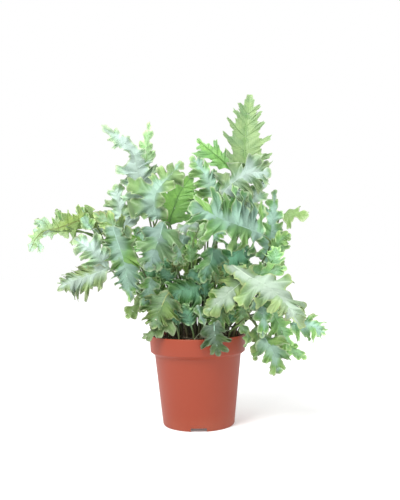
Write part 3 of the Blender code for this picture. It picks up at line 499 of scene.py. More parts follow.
# root: angle and radius on the soil; stalk and blade: (across, depth, height) of points along the
# midrib; width: the longest lobe; pairs: of lobes; face: where the upper side looks; blunt: 0 for
# pointed lobes, 1 for broad ones; cut: depth of the notches; taper: how much shorter the lobes get
# towards the tip; mood: how light, how yellow and how bloomy the frond is for its tone; calm: how much
# of the lobes' waves it has; paleEnd: how much paler it gets towards the tip; left and right: where a
# blade isn't regular, its lobes, each with its place in hundredths of the midrib, its angle with it, its
# length and half its width. Left is the left hand of someone who looks along the upper side to the tip.
fronds = [
    frond("top_spire", 37, 5, (80, 14), [(46, 30, 230), (60, 28, 280)], [(64, 22, 303), (63, 26, 340),
        (66, 34, 376), (71, 44, 410)], face=(0, 1, 0.1), tone="lime", blunt=0.25, cut=0.55, ruffle=0.06,
        mood=(0.86, 0, 0.15), calm=0.3, left=[(14, 66, 40, 7), (32, 57, 38, 8), (48, 52, 32, 6),
        (61, 50, 28, 5.5), (75, 44, 20, 4.5)], right=[(12, 58, 32, 7), (31, 53, 35, 8), (48, 51, 33, 6),
        (62, 48, 28, 5.5), (75, 44, 20, 4.5)]),
    frond("top_green", 29, 3, (100, 24), [(28, 34, 230), (46, 36, 300)], [(46, 32, 314), (29, 34, 332),
        (17, 38, 342), (3, 42, 355)], face=(0, 1, -0.3), tone="green", blunt=0.4, cut=0.68,
        mood=(1.25, 0, 0.25), calm=0.5, left=[(22, 52, 20, 4), (42, 50, 23, 4.5), (68, 50, 9, 5)],
        right=[(20, 58, 23, 4.5), (52, 56, 29, 7), (78, 70, 12, 4)]),
    frond("top_grey", 27, 4, (70, 9), [(22, 16, 220)], [(26, 10, 278), (15, 10, 304), (5, 12, 321),
        (-6, 15, 333)], face=(0.1, -1, 0.3), blunt=0.6, mood=(1.15, 0.1, 0), paleEnd=0.2),
    frond("top_white", 42, 4, (20, 12), [(26, 0, 230)], [(34, 2, 284), (51, -2, 302), (70, -7, 312),
        (96, -10, 311)], face=(-0.2, -0.9, 0.4), tone="pale", blunt=0.9, mood=(0.84, 0, 0)),
    frond("top_right", 21, 3, (45, 18), [(48, 8, 220)], [(64, 4, 258), (73, 0, 278), (81, -2, 295),
        (89, -4, 309)], face=(0.1, -1, 0.1), tone="pale", blunt=0.6, mood=(1.45, 0, 0)),
    frond("big_right", 53, 6, (12, 20), [(66, 8, 175), (93, -4, 220)], [(84, -22, 233), (67, -30, 241),
        (48, -40, 248), (30, -46, 255), (14, -49, 264), (-9, -50, 271)], face=(0, -1, 0.04), blunt=0.6,
        cut=0.76, ruffle=0.09, mood=(0.9, 0, 0.05), left=[(9, 100, 32, 6), (23, 98, 30, 6.5), (37, 96, 38, 7),
        (55, 66, 36, 5), (74, 38, 30, 4)], right=[(5, 76, 46, 3.6), (14, 76, 51, 3.6), (24, 72, 46, 4.2),
        (35, 69, 53, 5.4), (49, 64, 43, 6.2), (62, 58, 38, 4), (75, 34, 26, 4.5)]),
    frond("right_small", 26, 2, (35, 38), [(84, 28, 190), (102, 28, 246)], [(108, 18, 258), (123, 8, 260),
        (142, 0, 256)], face=(0.1, -0.8, 0.7), tone="lime", blunt=0.3, mood=(0.9, 0.25, -0.2), calm=0.6),
    frond("right_upright", 26, 5, (28, 28), [(76, 20, 170)], [(90, 16, 195), (93, 12, 227), (97, 8, 258),
        (100, 8, 290)], face=(0.25, -1, 0.1), mood=(1.2, 0, 0.1)),
    frond("right_mid", 17, 3, (5, 34), [(80, 2, 180)], [(98, -6, 211), (104, -12, 224), (111, -16, 231),
        (119, -20, 232)], face=(0.1, -0.9, 0.4), tone="green", blunt=0.8, mood=(1, 0.05, 0.15)),
    frond("left_tall", 34, 6, (150, 26), [(-44, 14, 200)], [(-57, 8, 270), (-67, 5, 297), (-73, 0, 321),
        (-77, -7, 338), (-88, -15, 351), (-102, -19, 362), (-117, -22, 375)], face=(-0.1, -1, 0.3),
        tone="pale", cut=0.55, ruffle=0.14, mood=(1.05, 0, 0.12), paleEnd=0.2, left=[(12, 66, 32, 6.5),
        (26, 80, 26, 5.5), (38, 68, 28, 6), (54, 60, 8, 5), (72, 66, 18, 3.5), (82, 70, 12, 2.8)],
        right=[(10, 70, 22, 7), (26, 66, 33, 6.5), (41, 78, 25, 4), (55, 84, 18, 4.5), (70, 88, 11, 3.5),
        (81, 46, 13, 2.6)]),
    frond("left_fork", 18, 4, (140, 18), [(-50, 24, 220)], [(-65, 10, 305), (-61, 8, 330), (-60, 6, 352),
        (-56, 6, 378)], face=(0.3, -1, 0.1), tone="lime", blunt=0.4, ruffle=0.1, mood=(1.4, 0, 0.6)),
    frond("left_big", 46, 6, (185, 22), [(-50, 20, 190), (-60, 12, 228)], [(-48, -26, 256), (-52, -32, 271),
        (-49, -34, 288), (-38, -32, 303), (-26, -30, 315), (-16, -27, 327)], face=(0, -1, 0.2), blunt=0.9,
        cut=0.74, ruffle=0.12, mood=(0.94, 0.2, 0.2), left=[(5, 112, 29, 7), (20, 90, 44, 6.4),
        (36, 84, 46, 7), (50, 72, 22, 4.5), (63, 68, 19, 5), (77, 66, 15, 5)], right=[(4, 108, 14, 5),
        (28, 80, 13, 7), (52, 60, 18, 8), (74, 50, 17, 7)]),
    frond("green_back", 34, 4, (120, 28), [(-26, 22, 190)], [(-34, 8, 246), (-27, 12, 269), (-19, 16, 289),
        (-4, 20, 308)], face=(0, 1, 0.1), tone="green", blunt=0.6, cut=0.45, ruffle=0.06,
        mood=(1.17, 0.03, 0.08), calm=0.35),
    frond("left_arch", 37, 6, (180, 38), [(-80, 10, 185), (-112, 14, 222)], [(-124, 8, 246), (-138, 0, 256),
        (-156, -8, 252), (-173, -14, 246), (-190, -20, 243), (-201, -24, 234), (-209, -28, 217)],
        face=(0, 0.8, 0.6), tone="olive", cut=0.7, ruffle=0.14, fold=0.2, mood=(1.45, 0.1, 0.35), paleEnd=0.9,
        left=[(12, 64, 26, 4), (26, 84, 32, 5.5), (39, 84, 29, 6.5), (52, 78, 30, 6), (63, 74, 23, 5),
        (76, 68, 26, 5.5)], right=[(8, 70, 10, 5), (24, 44, 37, 4.5), (44, 56, 16, 6), (58, 60, 14, 5),
        (80, 32, 22, 4)]),
    frond("left_pale", 36, 3, (165, 36), [(-80, 6, 168)], [(-110, -6, 195), (-123, -14, 211),
        (-137, -18, 222), (-154, -20, 232)], face=(-0.2, -0.95, 0.3), tone="pale", blunt=0.8,
        mood=(1.15, 0, 0.1), left=[(16, 48, 36, 6.5), (46, 60, 20, 5), (68, 46, 18, 5)],
        right=[(20, 66, 20, 6.5), (48, 74, 24, 6.5), (74, 48, 15, 5)]),
    frond("left_brown", 32, 6, (205, 36), [(-74, -8, 176)], [(-109, -24, 194), (-125, -30, 189),
        (-143, -34, 183), (-160, -38, 177), (-175, -40, 167)], face=(0, -1, 0.3), tone="pale", blunt=0,
        cut=0.52, ruffle=0.12, mood=(0.77, 0.25, 0), left=[(16, 66, 25, 5), (36, 52, 32, 4.5),
        (49, 50, 29, 3.6), (62, 48, 26, 3.6), (79, 56, 12, 3.5)], right=[(10, 48, 22, 4.5), (28, 50, 25, 4.5),
        (43, 52, 21, 3.4), (57, 49, 22, 3.4), (70, 50, 18, 3), (81, 54, 13, 2.6)]),
    frond("left_hang", 31, 6, (195, 26), [(-62, -6, 180), (-92, -18, 240)], [(-104, -32, 248),
        (-96, -43, 220), (-88, -48, 190), (-83, -50, 151)], face=(-0.1, -1, 0.1), blunt=0.1, cut=0.52,
        ruffle=0.1, mood=(0.74, 0.05, 0), left=[(8, 80, 12, 5), (26, 82, 24, 6.5), (42, 60, 30, 6.5),
        (57, 48, 29, 5), (69, 44, 22, 4), (80, 40, 14, 3.5)], right=[(8, 108, 18, 4), (18, 108, 24, 3.6),
        (28, 102, 23, 3.6), (38, 88, 27, 3.8), (48, 82, 26, 3.8), (58, 74, 24, 3.8), (67, 68, 20, 3.2),
        (76, 62, 15, 3)]),
    frond("mid_hang", 38, 3, (215, 20), [(-27, 2, 190), (-31, -8, 243)], [(-40, -42, 251), (-45, -54, 234),
        (-53, -58, 214), (-62, -60, 190)], blunt=0.8, cut=0.5, ruffle=0.08, mood=(0.56, 0, 0.25)),
    frond("dark_inner", 24, 3, (170, 20), [(-20, 12, 180)], [(-36, 4, 208), (-46, 2, 198), (-57, 2, 188),
        (-69, 0, 176)], face=(0, -1, 0.2), tone="deep", blunt=0.6, cut=0.5, mood=(1.5, 0.1, -0.2)),
    frond("teal_star", 25, 3, (20, 20), [(24, -2, 185), (26, -8, 220)], [(21, -26, 219), (19, -33, 204),
        (13, -38, 191), (7, -41, 174)], face=(0, -1, 0.2), tone="deep", blunt=0.3, cut=0.6,
        mood=(0.66, 0, 0)),
    frond("mid_right", 31, 3, (345, 24), [(50, -2, 175), (58, 4, 210)], [(60, -6, 217), (50, -11, 210),
        (40, -13, 202), (29, -14, 192)], tone="deep", blunt=0.7, cut=0.6, mood=(1.6, 0, 0.1)),
    frond("under_mid", 18, 3, (190, 9), [(-8, 8, 196), (-11, 10, 230)], [(-14, -6, 236), (-18, -12, 222),
        (-22, -14, 211), (-27, -16, 197)], blunt=0.6, mood=(0.82, 0.05, 0), paleEnd=0.3),
    frond("mid_white", 15, 2, (250, 8), [(-4, -6, 190), (-4, -18, 225)], [(4, -30, 246), (-12, -38, 246),
        (-26, -40, 240)], face=(0, -0.9, 0.5), tone="pale", blunt=0.9, mood=(0.72, 0, 0)),
    frond("mid_lime", 13, 3, (350, 8), [(13, 6, 200), (15, 6, 244)], [(12, -6, 249), (8, -12, 236),
        (6, -14, 217)], face=(0.1, -1, 0.2), tone="lime", blunt=0.6, mood=(0.9, 0, 0.2)),
    frond("olive_mid", 19, 3, (150, 14), [(-6, 24, 180), (0, 28, 208)], [(-4, 20, 214), (-13, 14, 204),
        (-22, 12, 197), (-32, 12, 190)], face=(0, -1, 0.3), tone="olive", blunt=0.3, cut=0.6,
        mood=(1.9, 0.05, -0.2)),
    frond("low_mid", 36, 4, (300, 8), [(10, -8, 140)], [(6, -18, 170), (-9, -24, 166), (-24, -28, 163),
        (-37, -30, 156)], face=(0, -1, 0.3), tone="deep", cut=0.6, mood=(1.2, 0.05, 0)),
    frond("low_teal", 17, 3, (262, 32), [], [(-8, -32, 121), (-11, -33, 131), (-14, -33, 140),
        (-17, -34, 149)], tone="deep", blunt=0.6, cut=0.6, mood=(1.1, 0.05, 0)),
    frond("low_centre", 15, 3, (310, 22), [(18, -17, 122)], [(20, -18, 132), (21, -19, 143), (21, -19, 154),
        (19, -18, 167)], tone="green", cut=0.6, mood=(1.8, 0.2, -0.2)),
    frond("low_back", 17, 3, (222, 30), [], [(-24, -19, 122), (-27, -19, 134), (-29, -19, 146),
        (-29, -18, 160)], tone="deep", blunt=0.4, cut=0.6, mood=(2, 0.1, 0)),
    frond("low_left_blue", 19, 3, (195, 30), [(-50, -10, 160)], [(-57, -24, 182), (-60, -30, 167),
        (-64, -34, 154), (-69, -36, 141)], face=(-0.1, -1, 0.2), blunt=0.6, mood=(1.05, 0.05, -0.1)),
    frond("low_left_olive", 33, 4, (240, 26), [(-24, -28, 140)], [(-35, -40, 163), (-43, -46, 149),
        (-50, -50, 134), (-57, -52, 118)], face=(0, -1, 0.2), tone="olive", blunt=0.2, cut=0.55, ruffle=0.08,
        mood=(0.72, 0, -0.1)),
    frond("low_left_tip", 18, 2, (180, 44), [(-56, -2, 130)], [(-63, -8, 155), (-71, -12, 149),
        (-80, -14, 142), (-89, -14, 132)], face=(-0.1, -1, 0.4), tone="green", mood=(1, 0.3, -0.3)),
    frond("bottom_left", 18, 3, (240, 44), [], [(-32, -36, 128), (-42, -42, 120), (-54, -46, 114),
        (-70, -50, 107)], face=(0, -0.7, 0.7), tone="lime", blunt=0.3, mood=(0.52, 0.2, 0)),
    frond("pale_big", 37, 6, (340, 34), [(42, -6, 150), (45, -9, 185)], [(44, -33, 196), (54, -45, 190),
        (67, -54, 181), (82, -60, 173), (95, -65, 164), (105, -69, 154), (114, -73, 143), (122, -76, 130),
        (133, -79, 116)], face=(0.1, -0.85, 0.5), tone="paleLime", blunt=1, cut=0.66, ruffle=0.1,
        mood=(0.7, 0, 0), paleEnd=0.3, left=[(7, 84, 14, 6), (19, 86, 15, 6), (43, 56, 37, 7.5),
        (60, 44, 36, 5.6), (77, 42, 25, 4.6)], right=[(6, 106, 13, 6), (18, 96, 13, 7), (40, 110, 36, 9),
        (53, 90, 28, 6.5), (64, 76, 21, 5.5), (73, 67, 18, 4.2), (82, 76, 13, 3.4)]),
    frond("pale_left", 28, 3, (315, 32), [(50, -18, 150)], [(62, -32, 178), (48, -40, 168), (30, -47, 153),
        (9, -52, 135)], face=(0, -0.9, 0.4), tone="paleLime", blunt=0.9, ruffle=0.05, mood=(0.68, 0, -0.1)),
    frond("right_cup", 20, 3, (355, 22), [(50, 2, 160)], [(66, 0, 184), (79, -9, 184), (95, -15, 187),
        (113, -18, 192)], face=(0, -1, 0.25), tone="green", blunt=0.9, mood=(1.25, 0, 0.3)),
    frond("under_olive", 16, 3, (328, 40), [(52, -10, 136)], [(59, -19, 148), (57, -25, 138), (55, -28, 129),
        (54, -30, 120)], tone="olive", blunt=0.3, mood=(1.8, 0, 0)),
    frond("under_blue", 19, 3, (352, 44), [(70, -8, 150)], [(77, -36, 158), (81, -46, 142), (83, -50, 124),
        (80, -50, 104)], face=(0.1, -1, 0.1), blunt=0.4),
    frond("low_green", 24, 4, (356, 38), [(74, -14, 150)], [(89, -30, 141), (100, -36, 124), (108, -38, 108),
        (115, -38, 87)], face=(0.1, -0.9, 0.3), tone="green", blunt=0.2, mood=(1.45, 0.05, 0.2)),
    frond("right_tips", 28, 4, (5, 42), [(90, -8, 138)], [(116, -22, 122), (131, -28, 120), (147, -30, 117),
        (161, -30, 107)], face=(0, -0.8, 0.5), blunt=0.1, cut=0.72, mood=(1.45, 0.08, 0.15)),
    frond("low_pale", 27, 3, (330, 50), [(63, -42, 130)], [(81, -42, 108), (90, -50, 95), (97, -54, 78),
        (102, -57, 59)], face=(0, -1, 0.2), blunt=0.6, mood=(0.72, 0.12, 0)),
    frond("low_side", 19, 3, (10, 48), [(74, 2, 132)], [(97, -14, 110), (109, -20, 98), (121, -24, 87),
        (136, -24, 77)], face=(0, -0.9, 0.4), tone="green", blunt=0.4, mood=(1.6, 0.1, 0.2)),
    frond("low_dark", 15, 2, (348, 50), [(66, -14, 130)], [(74, -20, 121), (76, -24, 108), (75, -26, 94),
        (71, -28, 76)], face=(0.2, -1, 0.2), tone="olive", blunt=0.7),
    frond("rim_hang", 27, 3, (290, 44), [], [(21, -54, 125), (21, -64, 115), (23, -70, 103), (26, -72, 82)],
        face=(0, -1, 0.3), blunt=0.1, mood=(0.27, 0.1, -0.3)),
    frond("inner_low", 24, 3, (300, 30), [(32, -22, 140)], [(35, -33, 151), (31, -38, 140), (28, -40, 130),
        (24, -42, 118)], tone="deep", cut=0.6, mood=(1.2, 0.2, -0.3)),
    frond("soil_pale", 8, 2, (275, 20), [(1, -24, 138)], [(0, -38, 147), (3, -43, 138), (6, -46, 128),
        (10, -48, 116)], face=(0.1, -1, 0.1), blunt=0.6, mood=(0.65, 0, 0)),
    frond("rim_curl", 8, 2, (320, 49), [], [(53, -48, 121), (61, -54, 112), (63, -56, 102), (58, -58, 93)],
        face=(0.2, -1, 0.3), tone="green", blunt=0.6, mood=(0.55, 0.1, 0)),
    frond("left_back", 32, 4, (155, 34), [(-70, 12, 190)], [(-86, 14, 240), (-93, 15, 262), (-98, 17, 280),
        (-101, 19, 300)], face=(-0.3, -1, 0.2), tone="pale", blunt=0.7),
    frond("left_mid", 22, 4, (172, 30), [(-60, 12, 180)], [(-84, -4, 226), (-98, -12, 242), (-112, -16, 254),
        (-129, -18, 264)], face=(-0.2, -1, 0.2), tone="olive", blunt=0.6, mood=(1.25, 0.05, 0.2)),
    frond("back_left", 28, 3, (105, 32), [(8, 36, 190)], [(11, 46, 234), (5, 62, 260), (-1, 77, 281),
        (-7, 88, 291)], face=(0, 1, 0.4), tone="green", blunt=0.7),
    frond("back_right", 26, 3, (70, 32), [(40, 34, 190)], [(49, 42, 236), (56, 60, 262), (63, 80, 277),
        (68, 95, 271)], face=(0.1, 1, 0.5), blunt=0.6),
    frond("back_right_low", 26, 3, (45, 42), [(66, 38, 150)], [(73, 46, 185), (90, 62, 199), (98, 80, 199),
        (102, 95, 186)], face=(0.4, 0.9, 0.5), tone="green"),
    frond("back_left_high", 26, 3, (140, 36), [(-56, 26, 180)], [(-70, 32, 223), (-83, 50, 230),
        (-89, 65, 217), (-92, 76, 195)], face=(-0.5, 0.9, 0.5), blunt=0.6),
    frond("back_low", 26, 3, (65, 42), [(30, 40, 140)], [(35, 46, 165), (60, 62, 171), (82, 76, 164),
        (91, 82, 145)], face=(0.1, 1, 0.5), tone="deep", blunt=0.4),
    frond("back_left_low", 22, 3, (130, 42), [(-28, 36, 140)], [(-34, 42, 166), (-52, 58, 173),
        (-64, 72, 165), (-69, 83, 148)], face=(-0.3, 1, 0.4), tone="green", blunt=0.6),
    frond("back_mid_low", 26, 3, (95, 42), [(-2, 44, 140)], [(-2, 48, 166), (4, 66, 184), (10, 86, 178),
        (14, 97, 153)], face=(0, 1, 0.5)),
    frond("back_mid", 26, 3, (115, 38), [(-12, 32, 170)], [(-14, 36, 203), (-20, 52, 222), (-25, 72, 229),
        (-30, 87, 216)], face=(-0.1, 1, 0.5), tone="pale", blunt=0.7),
    # small leaves that fill the middle, which the solids leave out
    inner("a", 20, "deep", (150, 12), (-30, 20, 150), (-44, 18, 176), (-52, 16, 190), (-60, 14, 204)),
    inner("b", 21, "green", (120, 16), (-22, 26, 160), (-30, 26, 184), (-36, 24, 198), (-42, 22, 212),
        face=(0, -1, 0.1), blunt=0.4),
    inner("c", 22, "deep", (100, 12), (-10, 24, 170), (-14, 24, 196), (-18, 24, 212), (-20, 24, 228),
        face=(0, -1, 0.1)),
    inner("d", 21, "olive", (80, 10), (2, 22, 160), (0, 22, 182), (-6, 24, 198), (-8, 26, 214),
        face=(0.1, -1, 0.2), blunt=0.3, mood=(1.5, 0.1, 0)),
    inner("e", 22, "deep", (60, 14), (14, 20, 160), (16, 20, 186), (18, 22, 202), (22, 24, 218),
        face=(0, -1, 0.1)),
    inner("f", 22, "green", (40, 16), (28, 18, 150), (34, 20, 176), (40, 22, 192), (46, 22, 208), blunt=0.4,
        mood=(1.9, 0.1, 0.2)),
    inner("g", 23, "deep", (20, 20), (44, 16, 160), (52, 18, 190), (58, 18, 206), (64, 18, 222),
        face=(0, -1, 0.1), mood=(1.2, 0, 0.1)),
    inner("h", 19, "green", (170, 20), (-24, 8, 130), (-30, 6, 148), (-40, 4, 158), (-50, 2, 166), blunt=0.4,
        mood=(1.7, 0.1, 0)),
    inner("i", 20, "olive", (130, 14), (-14, 10, 134), (-16, 10, 152), (-22, 8, 166), (-28, 6, 178),
        face=(0, -1, 0.1), blunt=0.3),
    inner("j", 20, "deep", (90, 8), (-4, 10, 134), (-4, 8, 150), (-6, 6, 166), (-8, 4, 182),
        face=(0.1, -1, 0.1), blunt=0.4),
    inner("k", 20, "green", (50, 12), (10, 10, 134), (12, 8, 150), (12, 6, 166), (10, 4, 182),
        mood=(2, 0.1, 0)),
    inner("l", 21, "deep", (20, 16), (26, 8, 134), (28, 6, 152), (34, 4, 166), (40, 2, 180),
        face=(0, -1, 0.1), blunt=0.4, mood=(2.2, 0.1, 0)),
    inner("m", 19, "deep", (0, 24), (42, 6, 134), (48, 4, 152), (56, 2, 162), (64, 0, 172)),
    inner("n", 16, "olive", (0, 34), (44, -4, 124), (50, -6, 136), (58, -8, 144), (66, -10, 150)),
    inner("o", 16, "green", (190, 36), (-38, -4, 124), (-44, -6, 136), (-52, -8, 144), (-60, -10, 150)),
    inner("p", 22, "blue", (140, 24), (-46, 26, 190), (-60, 26, 214), (-68, 26, 230), (-74, 26, 246),
        face=(0, -1, 0.1), mood=(1.9, 0.1, 0)),
    inner("q", 22, "deep", (95, 20), (-2, 30, 220), (0, 32, 248), (-2, 34, 264), (-4, 36, 280),
        face=(0, -1, 0.1)),
    inner("r", 22, "green", (60, 20), (26, 26, 230), (36, 26, 258), (42, 26, 274), (46, 26, 290),
        face=(0, -1, 0.1), mood=(2, 0, 0.2)),
    inner("s", 17, "green", (200, 6), (-8, 4, 200), (-10, -2, 240), (-6, -8, 227), (0, -12, 212), blunt=0.6,
        mood=(1.35, 0.1, 0)),
    inner("t", 16, "olive", (230, 12), (-24, 0, 190), (-32, -4, 216), (-24, -10, 206), (-14, -14, 196)),
    inner("u", 15, "deep", (260, 14), (-8, -10, 150), (-10, -14, 190), (-2, -18, 184), (8, -20, 174)),
    inner("v", 14, "blue", (40, 10), (18, 6, 200), (22, 0, 226), (28, -6, 236), (38, -10, 240),
        face=(0, -1, 0.3), mood=(1.4, 0, 0)),
    inner("w", 17, "pale", (176, 34), (-84, 14, 200), (-110, 10, 236), (-118, 6, 250), (-124, 2, 266),
        face=(-0.2, -1, 0.2), blunt=0.8, cut=0.5, mood=(1.1, 0.1, 0)),
    inner("x", 13, "blue", (182, 34), (-90, 6, 190), (-130, -4, 244), (-140, -8, 258), (-148, -12, 274),
        face=(-0.1, -1, 0.3), blunt=0.6, cut=0.5, mood=(1.6, 0.2, 0.1)),
    frond("inner_dd", 12, 3, (181, 33), [(-80, 8, 180), (-118, 10, 226), (-140, 0, 240)], [(-162, -10, 247),
        (-168, -13, 257), (-175, -15, 270)], face=(0.1, -1, 0.2), tone="lime", blunt=0.6, cut=0.6),
    frond("inner_ee", 12, 3, (184, 34), [(-80, 6, 178), (-124, 6, 234), (-160, -8, 242)], [(-184, -18, 242),
        (-192, -22, 250), (-202, -24, 257)], face=(0, -1, 0.2), tone="pale", blunt=0.7, cut=0.6),
    inner("y", 18, "green", (8, 30), (70, 4, 170), (92, -4, 196), (98, -10, 206), (100, -14, 218),
        face=(0.1, -1, 0.2), blunt=0.6, mood=(1.7, 0, 0.35)),
    inner("ff", 17, "deep", (210, 14), (-20, -6, 150), (-32, -12, 174), (-38, -14, 184), (-46, -16, 194),
        face=(0, -1, 0.1), blunt=0.3, mood=(0.9, 0.05, 0)),
    inner("gg", 15, "green", (240, 10), (-6, -6, 180), (-6, -12, 200), (-6, -16, 212), (-9, -18, 226),
        face=(0.1, -1, 0.1), blunt=0.3, mood=(1.1, 0.05, 0)),
    inner("hh", 16, "deep", (300, 12), (8, -8, 140), (10, -14, 156), (10, -18, 168), (13, -20, 182),
        blunt=0.3, mood=(1, 0, 0)),
    inner("ii", 15, "olive", (340, 14), (20, -6, 160), (24, -12, 172), (24, -16, 184), (27, -18, 198),
        face=(0, -1, 0.1), blunt=0.4, mood=(1.3, 0.1, 0)),
    inner("jj", 16, "green", (200, 20), (-34, -8, 140), (-44, -14, 160), (-50, -16, 170), (-56, -18, 182),
        blunt=0.3, mood=(1, 0.05, 0)),
    inner("aa", 16, "olive", (350, 20), (48, -2, 120), (52, -8, 128), (58, -12, 136), (66, -14, 142),
        face=(0.1, -1, 0.1), blunt=0.4),
    inner("bb", 15, "deep", (330, 26), (34, -10, 116), (38, -14, 124), (44, -16, 134), (50, -16, 146),
        face=(0, -1, 0.1), mood=(2.2, 0.1, 0)),
    inner("cc", 14, "green", (280, 20), (6, -16, 116), (6, -20, 124), (10, -22, 134), (12, -22, 146),
        face=(0, -1, 0.1)),
    inner("z", 19, "deep", (350, 34), (60, -8, 140), (72, -14, 152), (84, -20, 152), (98, -24, 146),
        face=(0, -1, 0.3), blunt=0.6),
]


def lengthsAlong(points):
    lengths = [0.0]
    for a, b in zip(points, points[1:]):
        lengths.append(lengths[-1] + (b - a).length)
    return lengths


def stretchAt(lengths, distance):
    # which stretch of a line a distance falls in, and how far along that stretch
    k = min(max(bisect.bisect_left(lengths, distance) - 1, 0), len(lengths) - 2)
    return k, (distance - lengths[k]) / max(1e-6, lengths[k + 1] - lengths[k])


def along(points, lengths, share):
    k, t = stretchAt(lengths, share * lengths[-1])
    return points[k].lerp(points[k + 1], t)


def rounded(points, steps=6):
    curve = []
    last = len(points) - 1
    for k in range(last):
        a, b = points[max(k - 1, 0)], points[k]
        c, d = points[k + 1], points[min(k + 2, last)]
        for step in range(steps):
            t = step / steps
            curve.append(
                0.5 * (2 * b + (c - a) * t + (2 * a - 5 * b + 4 * c - d) * t**2
                       + (3 * b - a - 3 * c + d) * t**3)
            )
    curve.append(points[-1])
    return curve


class Course:
    # the line of a stalk and its midrib, with its tangents and the upper side's normals
    steps = 10

    def __init__(self, row):
        x, y, _ = onCircle(*row["root"])
        top = soilHeight(x, y)
        self.points = [Vector((x, y, top - frondShape["holeDepth"]))]
        stalk = [Vector((x, y, top + frondShape["firstKnot"])), *(seenAt(*p) for p in row["stalk"])]
        bladeStart = self.trace(stalk + [seenAt(*p) for p in row["blade"]], len(stalk))
        self.lengths = lengthsAlong(self.points)
        self.stalkLength = self.lengths[bladeStart]
        self.bladeLength = self.lengths[-1] - self.stalkLength
        self.setFrames(Vector(row["face"]), bladeStart)

    def trace(self, knots, bladeKnot):
        gaps = [(b - a).length for a, b in zip(knots, knots[1:])]
        slopes = [Vector((0.0, 0.0, 1.0))]
        for k in range(1, len(knots) - 1):
            slopes.append((knots[k + 1] - knots[k - 1]) / (gaps[k - 1] + gaps[k]))
        slopes.append((knots[-1] - knots[-2]).normalized() * 1.2 - slopes[-1] * 0.2)
        for k, gap in enumerate(gaps):
            for step in range(self.steps):
                t = step / self.steps
                self.points.append(
                    knots[k] * (2 * t**3 - 3 * t**2 + 1)
                    + slopes[k] * gap * (t**3 - 2 * t**2 + t)
                    + knots[k + 1] * (3 * t**2 - 2 * t**3)
                    + slopes[k + 1] * gap * (t**3 - t**2)
                )
        self.points.append(knots[-1])
        return 1 + bladeKnot * self.steps

    def setFrames(self, face, bladeStart):
        last = len(self.points) - 1
        self.tangents = []
        for k in range(last + 1):
            ahead = self.points[min(k + 1, last)] - self.points[max(k - 1, 0)]
            self.tangents.append(ahead.normalized())
        self.normals = [None] * (last + 1)
        for way in (1, -1):
            normal = face
            k = (bladeStart + last) // 2
            while 0 <= k <= last:
                tangent = self.tangents[k]
                normal = (normal - tangent * normal.dot(tangent)).normalized()
                self.normals[k] = normal
                k += way

    def at(self, place):
        wanted = max(place + self.stalkLength, 0.0)
        distance = min(wanted, self.lengths[-1])
        k, t = stretchAt(self.lengths, distance)
        point = self.points[k].lerp(self.points[k + 1], t)
        tangent = self.tangents[k].lerp(self.tangents[k + 1], t).normalized()
        normal = self.normals[k].lerp(self.normals[k + 1], t)
        normal = (normal - tangent * normal.dot(tangent)).normalized()
        return point + tangent * (wanted - distance), normal.cross(tangent), normal


class Lobe:
    def __init__(self, start, angle, half, reach, rand):
        self.start = start
        self.ahead = Vector((math.cos(angle), math.sin(angle)))
        self.aside = Vector((math.sin(angle), -math.cos(angle)))
        self.half = half
        self.reach = reach
        draws = [rand.uniform(-1, most) for most in (1, 1, 0.6, 1, 1)]
        self.rise, self.turn, self.curl, self.cup, sway = draws
        self.sway = sway * frondShape["sway"]
        self.phases = [rand.uniform(0, 6.28) for _ in range(4)]
        self.tint = rand.uniform(0.0, 1.0)

    def point(self, out, wide):
        bent = self.half * wide + self.sway * self.reach * out * out
        return self.start + self.ahead * self.reach * out + self.aside * bent


